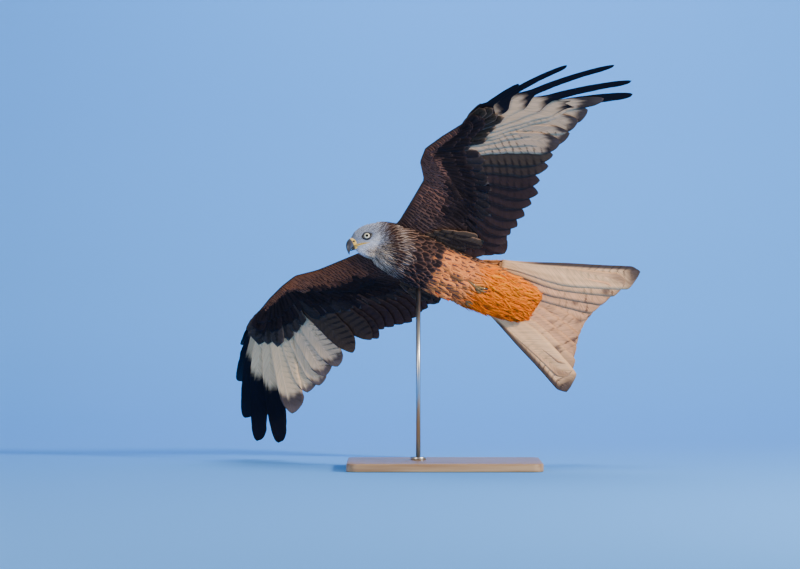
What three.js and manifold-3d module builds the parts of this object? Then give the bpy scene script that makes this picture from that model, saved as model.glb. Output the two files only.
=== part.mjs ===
// A red kite in banked flight, life size, on a plain display stand.
// Bird frame: +X to the bill, +Y to the bird's left, +Z to its back. Row frame: +Z up, millimetres.
import * as THREE from 'three';
import { mergeVertices } from 'three/addons/utils/BufferGeometryUtils.js';
import Module from 'manifold-3d';

const wasm = await Module();
wasm.setup();

const seam = 0.3;

// Attitude of the body in flight, as the directions of the bird's own axes in the row frame
const noseDirection = new THREE.Vector3(-0.8602, -0.3026, 0.4104);
const leftDirection = new THREE.Vector3(0.509, -0.5591, 0.6545);
const backDirection = new THREE.Vector3(0.0314, 0.7719, 0.635);
const birdCentre = new THREE.Vector3(-22, 28, 440);

// Body, measured over the feathers, from the undertail coverts to the base of the neck
const bodySections = [
  { at: -256, side: 2, level: 19, half: 34, up: 2, down: 7, roll: 18 },
  { at: -232, side: 2, level: 15, half: 48, up: 3, down: 15, roll: 18 },
  { at: -190, side: 3, level: 10, half: 55, up: 4, down: 27, roll: 18 },
  { at: -150, side: 4, level: 6, half: 59, up: 8, down: 36, roll: 16 },
  { at: -112, side: 3, level: 1, half: 60, up: 30, down: 40, roll: 12 },
  { at: -60, side: 1, level: 0, half: 58, up: 44, down: 47, roll: 5 },
  { at: 5, side: 0, level: -3, half: 60, up: 50, down: 54, roll: 0 },
  { at: 60, side: 0, level: -5, half: 61, up: 51, down: 58, roll: 0 },
  { at: 98, side: -2, level: -3, half: 56, up: 50, down: 55, roll: 0 },
  { at: 126, side: -6, level: 2, half: 47, up: 44, down: 48, roll: 0 },
  { at: 140, side: -8, level: 4, half: 30, up: 28, down: 30, roll: 0 },
];
const bodyAround = 22;
const bodyStations = 15;

// Head, in its own frame, turned level against the bank of the body
const headCentre = new THREE.Vector3(158, -14, 0);
const headForward = new THREE.Vector3(0.843, -0.359, -0.396);
const headUp = new THREE.Vector3(0.5245, 0.398, 0.753);
const headSections = [
  { at: -52, half: 14, top: 24, bottom: 26 },
  { at: -44, half: 27, top: 34, bottom: 44 },
  { at: -28, half: 28, top: 34.5, bottom: 50 },
  { at: -12, half: 27, top: 34, bottom: 50 },
  { at: 2, half: 22.4, top: 32.5, bottom: 45 },
  { at: 14, half: 18.6, top: 29, bottom: 38 },
  { at: 25, half: 14.5, top: 23, bottom: 29 },
  { at: 33, half: 11, top: 16.5, bottom: 20 },
  { at: 38, half: 7, top: 9.5, bottom: 13 },
];
const headAround = 18;
const headStations = 12;
const neckAround = 20;
const neckStations = 6;
const neckCutCentre = new THREE.Vector3(98, -2, 0);
const neckCutAxis = new THREE.Vector3(0.97, -0.14, -0.2);
const headCutAt = -34;
const cutReach = 220;

// Eyes and lids, in the head's frame
const eyeCentre = new THREE.Vector3(6, 13.6, 3.2);
const eyeRadius = 9.4;
const lidRadius = 7.4;
const lidThickness = 1.5;
const browSize = new THREE.Vector3(13, 4, 3.2);
const browCentre = new THREE.Vector3(9, 16.6, 12.2);

// Bill, as rings from the base of the cere to the tip of the hook, in the head's frame
const billRings = [
  { x: 30, z: -3, tilt: 0, half: 9.5, deep: 11 },
  { x: 36, z: -2.8, tilt: 4, half: 9, deep: 11.2 },
  { x: 41, z: -4.2, tilt: 20, half: 7.8, deep: 10.8 },
  { x: 45.2, z: -8.6, tilt: 45, half: 6, deep: 9 },
  { x: 47.6, z: -14, tilt: 66, half: 4.2, deep: 6 },
  { x: 49, z: -19.5, tilt: 82, half: 2.6, deep: 3.4 },
  { x: 49.6, z: -24.5, tilt: 92, half: 1.2, deep: 1.5 },
  { x: 49.4, z: -27.5, tilt: 96, half: 0.5, deep: 0.6 },
];
const cereEnd = 39;
const nostrilRadius = 1.3;
const lowerBillRings = [
  { x: 27, z: -14.4, half: 8, deep: 3 },
  { x: 35, z: -16, half: 6.6, deep: 2.8 },
  { x: 41, z: -17.6, half: 4.6, deep: 2 },
  { x: 44.6, z: -18.4, half: 2.4, deep: 1 },
];
const mouthLevel = -12;
const mouthHeight = 0.9;
const mouthBack = 6;

// Wings: joints of the arm in the bird's frame, patagium in front of the bone, quills behind it
const leftWing = {
  side: 1,
  joints: [[62, 48, 22], [35, 170, 30], [158, 246, 26], [130, 345, 20]],
  patagium: [56, 84, 107, 64, 12, 13, 10],
  tertialTurn: [184, 188, 193, 199],
  tertialLength: [118, 136, 152, 166],
  secondaryTurn: [203, 199, 192, 185, 177, 169, 163, 157, 150, 146],
  secondaryLength: [172, 167, 169, 180, 190, 201, 216, 221, 243, 259],
  primaryTurn: [141, 138, 133, 130, 127, 128, 123, 116, 107, 100],
  primaryLength: [276, 290, 306, 324, 357, 411, 415, 392, 300, 176],
  tertialTip: 12,
  secondaryTip: 9,
  primaryTip: [8, 7, 6, 5, -2, -12, -22, -20, -15, 0],
  fingerSlim: 0.62,
};
const rightWing = {
  side: -1,
  joints: [[62, -48, 22], [109, -164, 24], [235, -240, 18], [240, -338, 30]],
  patagium: [70, 80, 90, 62, 10, 11, 8],
  tertialTurn: [187, 191, 195, 199],
  tertialLength: [132, 148, 160, 168],
  secondaryTurn: [197, 194, 190, 186, 184, 181, 178, 172, 171, 159],
  secondaryLength: [178, 183, 192, 200, 199, 197, 195, 213, 215, 224],
  primaryTurn: [148, 141, 138, 133, 126, 121, 115, 111, 107, 103],
  primaryLength: [248, 259, 277, 286, 335, 420, 435, 401, 338, 206],
  tertialTip: 9,
  secondaryTip: 10,
  primaryTip: [18, 20, 22, 24, 22, 28, 55, 95, 140, 120],
  fingerSlim: 0.86,
};
const armThickness = [30, 25, 21, 17, 13, 8, 4.5];
const armEdgeThickness = 2.6;
const armReach = [52, 52, 52, 52, 52, 50, 30];
const armStations = 12;
const quillsTertial = 4;
const quillsSecondary = 10;
const quillsPrimary = 10;
const quillWidth = { tertial: 54, secondary: 56, primary: 50, finger: 41 };
const fingersFrom = 2.5;
const quillTilt = 5.5;
const quillBow = 0.035;
const quillSag = 0.03;
const covertCount = 10;
const covertFrom = 24;
const covertTo = 98;
const covertWidth = 45;
const covertHeight = 4.2;
const covertEdge = 0.6;
const covertRootDepth = 0.9;
const alulaCount = 2;
const alulaLength = 78;
const alulaWidth = 15;
// Share of a vane's length and of its width there
const roundVane = [[0.08, 0.4], [0.3, 0.9], [0.84, 0.95], [1, 0.3]];
const covertVane = [[0, 0.6], [0.45, 1], [0.82, 0.88], [1, 0.3]];
const alulaVane = [[0, 0.5], [0.4, 1], [0.85, 0.7], [1, 0.2]];
const tailVane = [[0, 0.35], [0.4, 0.85], [0.88, 1], [1, 0.35]];
const vaneEdge = 0.55;
const vaneMiddle = 1.2;
const tipThickness = 0.35;
const wristCutTurn = { left: 143, right: 152 };

// Tail: a fork of twelve feathers from a short root, rolled and raised a little against the body
const tailRoot = new THREE.Vector3(-104, 9, 21);
const tailPitch = 4.2;
const tailRoll = 18.5;
const tailYaw = -1.0;
const tailHalfSpread = 19.6;
const tailRootHalf = 44;
const tailOuter = 352;
const tailCentral = 284;
const tailFeathersASide = 6;
const tailFeatherWidth = 50;
const tailLayer = 0.95;
const tailBow = 0.022;
const forkSweep = 2.2;
const tailLift = 0.012;
const tailUpperCoverts = 6;
const tailCovertWidth = 34;
const tailCovertReach = 0.42;
const tailCovertStart = 20;
const tailCovertLevel = 7;
const tailTopLevel = 5;
const tailCoreCentre = new THREE.Vector3(-26, 0, -2);
const tailCoreSize = new THREE.Vector3(44, 56, 9);

// Legs, tucked back under the vent
const legTop = new THREE.Vector3(0, 34, -30);
const legHeel = new THREE.Vector3(-62, 33, -44);
const legToes = new THREE.Vector3(-86, 30, -46);
const thighRadius = 21;
const heelRadius = 6;
const toeLength = 26;
const clawLength = 13;

// Display stand
const baseLength = 420;
const baseWidth = 320;
const baseHeight = 18;
const baseCorner = 24;
const baseEdge = 3;
const rodRadius = 5;
const collarRadius = 17;
const collarHeight = 7;
const collarEdge = 1.5;
const rodPlace = new THREE.Vector3(birdCentre.x - 34, birdCentre.y - 9, 0);

const upward = new THREE.Vector3(0, 0, 1);

function vector(list) {
  return new THREE.Vector3(list[0], list[1], list[2]);
}

function between(low, high, share) {
  return low + (high - low) * share;
}

// Smooth value of a named quantity along a list of sections, each with its place "at"
function alongSections(sections, name, place) {
  let index = 0;
  while (index < sections.length - 2 && place > sections[index + 1].at) index += 1;
  const start = sections[index];
  const end = sections[index + 1];
  const gap = end.at - start.at;
  const before = sections[Math.max(index - 1, 0)];
  const after = sections[Math.min(index + 2, sections.length - 1)];
  const startSlope = (end[name] - before[name]) / Math.max(end.at - before.at, 1);
  const endSlope = (after[name] - start[name]) / Math.max(after.at - start.at, 1);
  const share = THREE.MathUtils.clamp((place - start.at) / gap, 0, 1);
  const square = share * share;
  const cube = square * share;
  return (2 * cube - 3 * square + 1) * start[name] + (cube - 2 * square + share) * gap * startSlope
    + (3 * square - 2 * cube) * end[name] + (cube - square) * gap * endSlope;
}

// Value at a place along a list of equally spaced values
function alongList(list, share) {
  const place = THREE.MathUtils.clamp(share, 0, 1) * (list.length - 1);
  const index = Math.min(Math.floor(place), list.length - 2);
  return between(list[index], list[index + 1], place - index);
}

// Closed skin over rings of points; the listed sides of each ring take the other diagonal
function loft(rings, turnedSides = []) {
  const around = rings[0].length;
  const points = rings.flat();
  const faces = [];
  for (let ring = 0; ring + 1 < rings.length; ring += 1) {
    for (let side = 0; side < around; side += 1) {
      const a = ring * around + side;
      const b = ring * around + (side + 1) % around;
      const c = a + around;
      const d = b + around;
      if (turnedSides.includes(side)) faces.push([a, b, c], [b, d, c]);
      else faces.push([a, b, d], [a, d, c]);
    }
  }
  const last = (rings.length - 1) * around;
  for (let side = 1; side + 1 < around; side += 1) {
    faces.push([0, side + 1, side]);
    faces.push([last, last + side, last + side + 1]);
  }
  let volume = 0;
  for (const [a, b, c] of faces) {
    volume += points[a].dot(points[b].clone().cross(points[c]));
  }
  const ordered = volume < 0 ? faces.map(([a, b, c]) => [a, c, b]) : faces;
  const geometry = new THREE.BufferGeometry();
  geometry.setFromPoints(points);
  geometry.setIndex(ordered.flat());
  return geometry;
}

function toSolid(geometry) {
  const bare = new THREE.BufferGeometry();
  bare.setAttribute('position', geometry.getAttribute('position'));
  bare.setIndex(geometry.index);
  const merged = mergeVertices(bare, 1e-4);
  return new wasm.Manifold(new wasm.Mesh({
    numProp: 3,
    vertProperties: new Float32Array(merged.getAttribute('position').array),
    triVerts: new Uint32Array(merged.index.array),
  }));
}

function join(geometries) {
  return geometries.map(toSolid).reduce((whole, piece) => whole.add(piece));
}

// The closed surfaces of a solid, the largest first
function bySize(solid) {
  return solid.decompose().sort((one, other) => other.volume() - one.volume());
}

function toMesh(solid, name, color, roughness, metalness = 0) {
  const { vertProperties, triVerts } = bySize(solid)[0].getMesh();
  const geometry = new THREE.BufferGeometry();
  geometry.setAttribute('position', new THREE.BufferAttribute(vertProperties, 3));
  geometry.setIndex(new THREE.BufferAttribute(triVerts, 1));
  geometry.computeVertexNormals();
  const mesh = new THREE.Mesh(geometry, new THREE.MeshStandardMaterial({ color, roughness, metalness }));
  mesh.name = name;
  return mesh;
}

// Ring of points round a centre, wider and deeper by its half sizes, up and down apart
function ellipseRing(centre, across, upwards, half, up, down, around) {
  const ring = [];
  for (let step = 0; step < around; step += 1) {
    const angle = 2 * Math.PI * step / around;
    const sine = Math.sin(angle);
    ring.push(centre.clone()
      .addScaledVector(across, half * Math.cos(angle))
      .addScaledVector(upwards, (sine > 0 ? up : down) * sine));
  }
  return ring;
}

// Tapered round limb along a curve, for legs, toes and claws
function limb(points, radii, around, steps) {
  const curve = new THREE.CatmullRomCurve3(points);
  const rings = [];
  for (let step = 0; step <= steps; step += 1) {
    const share = step / steps;
    const ahead = curve.getTangent(share);
    const across = new THREE.Vector3(0, 1, 0).addScaledVector(ahead, -ahead.y).normalize();
    const upwards = new THREE.Vector3().crossVectors(ahead, across);
    const radius = alongList(radii, share);
    rings.push(ellipseRing(curve.getPoint(share), across, upwards, radius, radius, radius, around));
  }
  return loft(rings);
}

function bodyForm(grow = 0) {
  const rings = [];
  const first = bodySections[0].at;
  const last = bodySections[bodySections.length - 1].at;
  for (let step = 0; step <= bodyStations; step += 1) {
    const place = between(first - grow, last + grow, step / bodyStations);
    const value = (name) => alongSections(bodySections, name, place);
    const roll = THREE.MathUtils.degToRad(value('roll'));
    const across = new THREE.Vector3(0, Math.cos(roll), Math.sin(roll));
    const upwards = new THREE.Vector3(0, -Math.sin(roll), Math.cos(roll));
    const centre = new THREE.Vector3(place, value('side'), value('level'));
    rings.push(ellipseRing(centre, across, upwards, value('half') + grow, value('up') + grow,
      value('down') + grow, bodyAround));
  }
  return loft(rings);
}

// The head's own axes, squared up
function headAxes() {
  const forward = headForward.clone().normalize();
  const up = headUp.clone().addScaledVector(forward, -headUp.dot(forward)).normalize();
  return { forward, left: new THREE.Vector3().crossVectors(up, forward), up };
}

function headMatrix() {
  const { forward, left, up } = headAxes();
  return new THREE.Matrix4().makeBasis(forward, left, up).setPosition(headCentre);
}

function headForm(grow = 0) {
  const rings = [];
  const first = headSections[0].at;
  const last = headSections[headSections.length - 1].at;
  for (let step = 0; step <= headStations; step += 1) {
    const place = between(first - grow, last + grow, step / headStations);
    const value = (name) => alongSections(headSections, name, place);
    rings.push(ellipseRing(new THREE.Vector3(place, 0, 0), new THREE.Vector3(0, 1, 0), upward,
      value('half') + grow, value('top') + grow, value('bottom') + grow, headAround));
  }
  return loft(rings).applyMatrix4(headMatrix());
}

// Neck, from the shoulders to the back of the head, turning from the body's axes to the head's
function neckForm() {
  const { forward, left, up } = headAxes();
  const start = new THREE.Vector3(84, -2, -3);
  const end = headCentre.clone().addScaledVector(forward, -20).addScaledVector(up, 1);
  const bend = new THREE.Vector3(124, -5, 3);
  const curve = new THREE.QuadraticBezierCurve3(start, bend, end);
  const rings = [];
  for (let step = 0; step <= neckStations; step += 1) {
    const share = step / neckStations;
    const across = new THREE.Vector3(0, 1, 0).lerp(left, share).normalize();
    const upwards = upward.clone().lerp(up, share).normalize();
    const bulge = Math.sin(Math.PI * share) * 1.5;
    rings.push(ellipseRing(curve.getPoint(share), across, upwards, between(56, 26.5, share) + bulge,
      between(50, 33, share) + bulge, between(54, 36, share) + bulge * 2, neckAround));
  }
  return loft(rings);
}

// Thin slab across an axis, for parting neighbours
function slab(centre, axis, reach) {
  const cut = new THREE.BoxGeometry(reach, reach, seam);
  cut.applyQuaternion(new THREE.Quaternion().setFromUnitVectors(upward, axis.clone().normalize()));
  cut.translate(centre.x, centre.y, centre.z);
  return toSolid(cut);
}

function ball(centre, sizes, across, down) {
  return new THREE.SphereGeometry(1, across, down).scale(sizes.x, sizes.y, sizes.z)
    .translate(centre.x, centre.y, centre.z);
}

function mirrored(point, side) {
  return new THREE.Vector3(point.x, point.y * side, point.z);
}

function eyeForm(side, radius) {
  const size = new THREE.Vector3(radius, radius, radius);
  return ball(mirrored(eyeCentre, side), size, 12, 9).applyMatrix4(headMatrix());
}

function lidForm(side) {
  const outward = new THREE.Vector3(0.28, 0.95 * side, 0.05).normalize();
  const ring = new THREE.TorusGeometry(lidRadius, lidThickness, 5, 14);
  ring.applyQuaternion(new THREE.Quaternion().setFromUnitVectors(upward, outward));
  const place = mirrored(eyeCentre, side).addScaledVector(outward, 6.4);
  return ring.translate(place.x, place.y, place.z).applyMatrix4(headMatrix());
}

function browForm(side) {
  return ball(mirrored(browCentre, side), browSize, 10, 6).applyMatrix4(headMatrix());
}

function billForm(rings, grow, around = 12) {
  const outlines = rings.map(({ x, z, tilt = 0, half, deep }) => {
    const turn = THREE.MathUtils.degToRad(tilt);
    const upwards = new THREE.Vector3(Math.sin(turn), 0, Math.cos(turn));
    return ellipseRing(new THREE.Vector3(x, 0, z), new THREE.Vector3(0, 1, 0), upwards,
      half + grow, deep + grow, deep + grow, around);
  });
  return loft(outlines).applyMatrix4(headMatrix());
}

function nostrilForm(side) {
  const place = new THREE.Vector3(35.5, 9.2 * side, -0.5);
  return ball(place, new THREE.Vector3(nostrilRadius * 1.4, 2, nostrilRadius), 8, 6)
    .applyMatrix4(headMatrix());
}

function mouthForm() {
  const cut = new THREE.BoxGeometry(60, 80, mouthHeight);
  return cut.translate(mouthBack + 30, 0, mouthLevel).applyMatrix4(headMatrix());
}

// Flat tapered vane along a centre line: width shares by place, thicker along its shaft
function vane(line, stations, { width, leading, tilt, side, middle = vaneMiddle, edge = vaneEdge }) {
  const flat = middle === 0;
  const rings = stations.map(([share, spread], index) => {
    const centre = line.getPoint(share);
    const ahead = line.getTangent(share);
    const across = new THREE.Vector3().crossVectors(ahead, upward).multiplyScalar(side).normalize();
    const normal = new THREE.Vector3().crossVectors(across, ahead).multiplyScalar(side).normalize();
    const angle = THREE.MathUtils.degToRad(tilt);
    const out = across.clone().multiplyScalar(Math.cos(angle)).addScaledVector(normal, Math.sin(angle));
    const up = normal.clone().multiplyScalar(Math.cos(angle)).addScaledVector(across, -Math.sin(angle));
    const last = index === stations.length - 1;
    const thin = (last ? tipThickness : edge) / 2;
    const thick = (last ? tipThickness : middle) / 2;
    const point = (outward, lift) => centre.clone().addScaledVector(out, outward).addScaledVector(up, lift);
    const front = width * spread * leading;
    const back = -width * spread * (1 - leading);
    if (flat) return [point(front, thin), point(back, thin), point(back, -thin), point(front, -thin)];
    return [point(front, thin), point(0, thick), point(back, thin), point(back, -thin), point(0, -thick),
      point(front, -thin)];
  });
  return loft(rings, flat ? [2] : [3, 4]);
}

// Bowed line from a root to a tip: bow within the wing's plane, sag across it
function bowedLine(root, tip, bow, sag, side) {
  const ahead = tip.clone().sub(root);
  const length = ahead.length();
  const across = new THREE.Vector3().crossVectors(ahead, upward).normalize().multiplyScalar(side);
  const middlePoint = root.clone().lerp(tip, 0.5).addScaledVector(across, 2 * bow * length);
  middlePoint.z += 2 * sag * length;
  return new THREE.QuadraticBezierCurve3(root, middlePoint, tip);
}

// Places along a wing: 0 shoulder, 1 elbow, 2 wrist, 3 tip of the hand
function bonePlace(wing, place) {
  const index = THREE.MathUtils.clamp(Math.floor(place), 0, 2);
  return vector(wing.joints[index]).lerp(vector(wing.joints[index + 1]), place - index);
}

// Rank of a quill counted out from the body, as a number between 0 and 1, for a place along the wing
function quillRank(place) {
  const rank = place < 1 ? place * quillsTertial : quillsTertial + (place - 1) * quillsSecondary;
  return (rank - 0.5) / (quillsTertial + quillsSecondary + quillsPrimary - 1);
}

function quillLine(wing, place) {
  const turns = [...wing.tertialTurn, ...wing.secondaryTurn, ...wing.primaryTurn];
  const lengths = [...wing.tertialLength, ...wing.secondaryLength, ...wing.primaryLength];
  const levels = [...Array(quillsTertial).fill(wing.tertialTip), ...Array(quillsSecondary).fill(wing.secondaryTip),
    ...wing.primaryTip];
  const share = quillRank(place);
  const root = bonePlace(wing, place);
  const turn = THREE.MathUtils.degToRad(alongList(turns, share));
  const length = alongList(lengths, share);
  const rise = alongList(levels, share) - root.z;
  const level = Math.sqrt(length * length - rise * rise);
  const tip = root.clone().add(new THREE.Vector3(Math.cos(turn) * level, wing.side * Math.sin(turn) * level, rise));
  const bent = Math.min(quillSag, quillSag - (rise - 20) / length * 0.4);
  return bowedLine(root, tip, place > 2 ? quillBow : quillBow * 0.3, bent, wing.side);
}

// Place on a quill's line at a distance from its root
function onQuill(wing, place, distance) {
  const line = quillLine(wing, place);
  return line.getPoint(Math.min(distance / line.getLength(), 1));
}

function quillForms(wing) {
  const finger = [[0.05, 0.4], [0.36, 1], [0.62, wing.fingerSlim], [0.9, wing.fingerSlim * 0.75], [1, 0.1]];
  const forms = [];
  const add = (place, kind) => {
    const stations = kind === 'finger' ? finger : roundVane;
    const leading = kind === 'finger' || kind === 'primary' ? 0.34 : 0.42;
    forms.push(vane(quillLine(wing, place), stations,
      { width: quillWidth[kind], leading, tilt: quillTilt, side: wing.side }));
  };
  for (let rank = 0; rank < quillsTertial; rank += 1) add((rank + 0.5) / quillsTertial, 'tertial');
  for (let rank = 0; rank < quillsSecondary; rank += 1) add(1 + (rank + 0.5) / quillsSecondary, 'secondary');
  for (let rank = 0; rank < quillsPrimary; rank += 1) {
    const place = 2 + (rank + 0.5) / quillsPrimary;
    add(place, place > fingersFrom ? 'finger' : 'primary');
  }
  return forms;
}

// Half the thickness of the arm at a distance behind its bones
function armHalf(place, distance) {
  const full = alongList(armThickness, place / 3) / 2;
  const share = Math.min(distance / alongList(armReach, place / 3), 1);
  return between(full, armEdgeThickness / 2, share ** 0.7);
}

// Coverts over the roots of the quills, on one face: 1 the back of the wing, -1 its underside
function covertForms(wing, face) {
  const forms = [];
  for (let rank = 0; rank < covertCount; rank += 1) {
    const place = between(0.3, 2.97, (rank + 0.5) / covertCount);
    const reach = place > 2 ? between(1.15, 0.75, place - 2) : 1;
    const root = onQuill(wing, place, covertFrom);
    root.z += face * (armHalf(place, covertFrom) - covertRootDepth);
    const tip = onQuill(wing, place, covertTo * reach);
    tip.z += face * covertHeight;
    const line = bowedLine(root, tip, 0.02, face * 0.012, wing.side);
    const fan = place > 2 ? 0.8 : 1.15;
    forms.push(vane(line, covertVane,
      { width: covertWidth * fan, leading: 0.45, tilt: quillTilt, side: wing.side, middle: 0, edge: covertEdge }));
  }
  return forms;
}

function alulaForms(wing) {
  const forms = [];
  for (let rank = 0; rank < alulaCount; rank += 1) {
    const root = bonePlace(wing, 2.02 + rank * 0.05);
    root.x += 3 - rank * 2;
    root.z += 4 + rank * 1.6;
    const direction = bonePlace(wing, 3).sub(bonePlace(wing, 2)).normalize();
    const tip = root.clone().addScaledVector(direction, alulaLength * (1 - rank * 0.18));
    tip.x -= 4 + rank * 5;
    forms.push(vane(bowedLine(root, tip, 0.02, 0.02, wing.side), alulaVane,
      { width: alulaWidth, leading: 0.4, tilt: 0, side: wing.side, middle: 0, edge: covertEdge }));
  }
  return forms;
}

// The fleshy arm of a wing, from the body to the tip of the hand, thin behind the bones
function armForm(wing) {
  const front = [[0, 0.14], [0.07, 0.42], [0.35, 0.72], [0.75, 0.95], [1, 1]];
  const back = [0.3, 0.65, 1];
  const rings = [];
  for (let step = 0; step <= armStations; step += 1) {
    const place = between(-0.3, 3, step / armStations);
    const bone = bonePlace(wing, place);
    const lead = bone.clone().add(new THREE.Vector3(alongList(wing.patagium, place / 3), 0, 1));
    const reach = alongList(armReach, place / 3);
    const upper = [];
    const lower = [];
    const add = (point, half) => {
      upper.push(point.clone().addScaledVector(upward, half));
      lower.unshift(point.clone().addScaledVector(upward, -half));
    };
    for (const [share, depth] of front) add(lead.clone().lerp(bone, share), depth * armHalf(place, 0));
    for (const share of back) add(onQuill(wing, Math.max(place, 0.05), reach * share), armHalf(place, reach * share));
    rings.push([...upper, ...lower]);
  }
  return loft(rings, [8, 9, 10, 11, 12, 13, 14]);
}

function wingForms(wing) {
  return [armForm(wing), ...quillForms(wing), ...covertForms(wing, 1), ...covertForms(wing, -1),
    ...alulaForms(wing)];
}

function wristCut(wing, turnDegrees) {
  const wrist = vector(wing.joints[2]);
  const turn = THREE.MathUtils.degToRad(turnDegrees);
  const axis = new THREE.Vector3(-Math.sin(turn) * wing.side, Math.cos(turn), 0);
  return slab(wrist, axis, 1100);
}

// Tail frame: its feathers run back along -X, +Y to the left, +Z up
function tailMatrix() {
  const euler = new THREE.Euler(THREE.MathUtils.degToRad(tailRoll), THREE.MathUtils.degToRad(tailPitch),
    THREE.MathUtils.degToRad(-tailYaw), 'ZYX');
  return new THREE.Matrix4().makeRotationFromEuler(euler).setPosition(tailRoot);
}

// Line of a tail feather, by its share of the spread: 0 the middle, 1 the outermost
function tailLine(share, side, start, reach, level) {
  const turn = THREE.MathUtils.degToRad(tailHalfSpread) * share * side;
  const length = between(tailCentral, tailOuter, share ** forkSweep) * reach;
  const at = (distance) => new THREE.Vector3(-distance * Math.cos(turn),
    tailRootHalf * share * side + distance * Math.sin(turn), level);
  return bowedLine(at(start), at(length), -tailBow * share, tailLift, side);
}

function tailForms() {
  const forms = [ball(tailCoreCentre, tailCoreSize, 18, 10)];
  for (const side of [1, -1]) {
    for (let rank = 0; rank < tailFeathersASide; rank += 1) {
      const share = (rank + 0.5) / (tailFeathersASide - 0.5);
      const level = tailTopLevel - tailLayer * (2 * rank + (side < 0 ? 1 : 0));
      forms.push(vane(tailLine(share, side, 0, 1, level), tailVane,
        { width: tailFeatherWidth, leading: 0.36, tilt: 0.6, side }));
    }
  }
  for (let rank = 0; rank < tailUpperCoverts; rank += 1) {
    const share = (rank + 0.5) / tailUpperCoverts * 2 - 1;
    const layer = (1 - Math.abs(share)) * tailUpperCoverts + (share < 0 ? 1 : 0);
    const line = tailLine(Math.abs(share) * 0.8, share < 0 ? -1 : 1, tailCovertStart, tailCovertReach,
      tailCovertLevel + layer * 0.8);
    line.v0.z = tailTopLevel;
    forms.push(vane(line, covertVane,
      { width: tailCovertWidth, leading: 0.5, tilt: 0, side: 1, middle: 0, edge: covertEdge }));
  }
  return forms.map((form) => form.applyMatrix4(tailMatrix()));
}

function legForms(side) {
  const top = mirrored(legTop, side);
  const heel = mirrored(legHeel, side);
  const toes = mirrored(legToes, side);
  const forms = [
    limb([top, top.clone().lerp(heel, 0.5), heel], [thighRadius * 0.6, thighRadius, thighRadius * 0.8,
      heelRadius * 1.4], 10, 4),
    limb([heel, heel.clone().lerp(toes, 0.5), toes], [heelRadius, heelRadius * 0.8, heelRadius], 8, 2),
  ];
  for (const [spread, curl] of [[-9, 0], [-2, 3], [6, 1]]) {
    const knuckle = toes.clone().add(new THREE.Vector3(-toeLength * 0.6, spread, -1 - curl));
    const claw = knuckle.clone().add(new THREE.Vector3(-clawLength * 0.6, spread * 0.1, 4));
    const point = claw.clone().add(new THREE.Vector3(2, 0, clawLength * 0.55));
    forms.push(limb([toes.clone().add(new THREE.Vector3(4, 0, 0)), knuckle, claw, point],
      [4.6, 4.2, 3.4, 2.2, 0.5], 6, 4));
  }
  return forms;
}

function baseForm() {
  const outline = new THREE.Shape();
  const x = baseLength / 2 - baseEdge;
  const y = baseWidth / 2 - baseEdge;
  const corners = [[x - baseCorner, y - baseCorner, 0], [baseCorner - x, y - baseCorner, 1],
    [baseCorner - x, baseCorner - y, 2], [x - baseCorner, baseCorner - y, 3]];
  for (const [centreX, centreY, quarter] of corners) {
    outline.absarc(centreX, centreY, baseCorner, quarter * Math.PI / 2, (quarter + 1) * Math.PI / 2);
  }
  return new THREE.ExtrudeGeometry(outline, {
    depth: baseHeight - 2 * baseEdge, bevelThickness: baseEdge, bevelSize: baseEdge, bevelSegments: 1, curveSegments: 4,
  }).translate(0, 0, baseEdge);
}

function collarForm() {
  const low = baseHeight + seam;
  const high = low + collarHeight;
  const profile = [[0, low], [collarRadius, low], [collarRadius, high - collarEdge],
    [collarRadius - collarEdge, high], [0, high]];
  return turned(profile, 18);
}

function rodForm() {
  const low = baseHeight + collarHeight + 2 * seam;
  return turned([[0, low], [rodRadius, low], [rodRadius, birdCentre.z], [0, birdCentre.z]], 12);
}

// Solid of revolution about the rod's axis, from radii and heights
function turned(profile, around) {
  const points = profile.map(([radius, height]) => new THREE.Vector2(radius, height));
  return new THREE.LatheGeometry(points, around).rotateX(Math.PI / 2).translate(rodPlace.x, rodPlace.y, 0);
}

const birdMatrix = new THREE.Matrix4().makeBasis(noseDirection, leftDirection, backDirection).setPosition(birdCentre);
const bird = new THREE.Group();
bird.position.copy(birdCentre);
bird.quaternion.setFromRotationMatrix(birdMatrix);
bird.updateMatrixWorld();

const { forward: headAxis } = headAxes();
const headCut = headCentre.clone().addScaledVector(headAxis, headCutAt);
const bill = toSolid(billForm(billRings, 0));
const grownHead = toSolid(headForm(seam));
const sockets = [1, -1].map((side) => toSolid(eyeForm(side, eyeRadius + seam)));
let flesh = join([bodyForm(), neckForm(), headForm(), lidForm(1), lidForm(-1), browForm(1), browForm(-1)]);
for (const socket of sockets) flesh = flesh.subtract(socket);
flesh = flesh.subtract(toSolid(mouthForm()));
flesh = flesh.subtract(slab(neckCutCentre, neckCutAxis, cutReach));
flesh = flesh.subtract(slab(headCut, headAxis, cutReach));
const fleshParts = bySize(flesh).slice(0, 3);
const middle = (solid) => (solid.boundingBox().min[0] + solid.boundingBox().max[0]) / 2;
const [torso, neck, head] = fleshParts.sort((one, other) => middle(one) - middle(other));
const grownBody = toSolid(bodyForm(seam));

bird.add(toMesh(torso, 'torso', 0x8a4a26, 0.9));
bird.add(toMesh(neck, 'neck', 0xa08a78, 0.9));
bird.add(toMesh(head, 'head', 0xb9bcc4, 0.9));

for (const [name, side] of [['eye_left', 1], ['eye_right', -1]]) {
  bird.add(toMesh(toSolid(eyeForm(side, eyeRadius)), name, 0xd9d7b8, 0.1));
}

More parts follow.
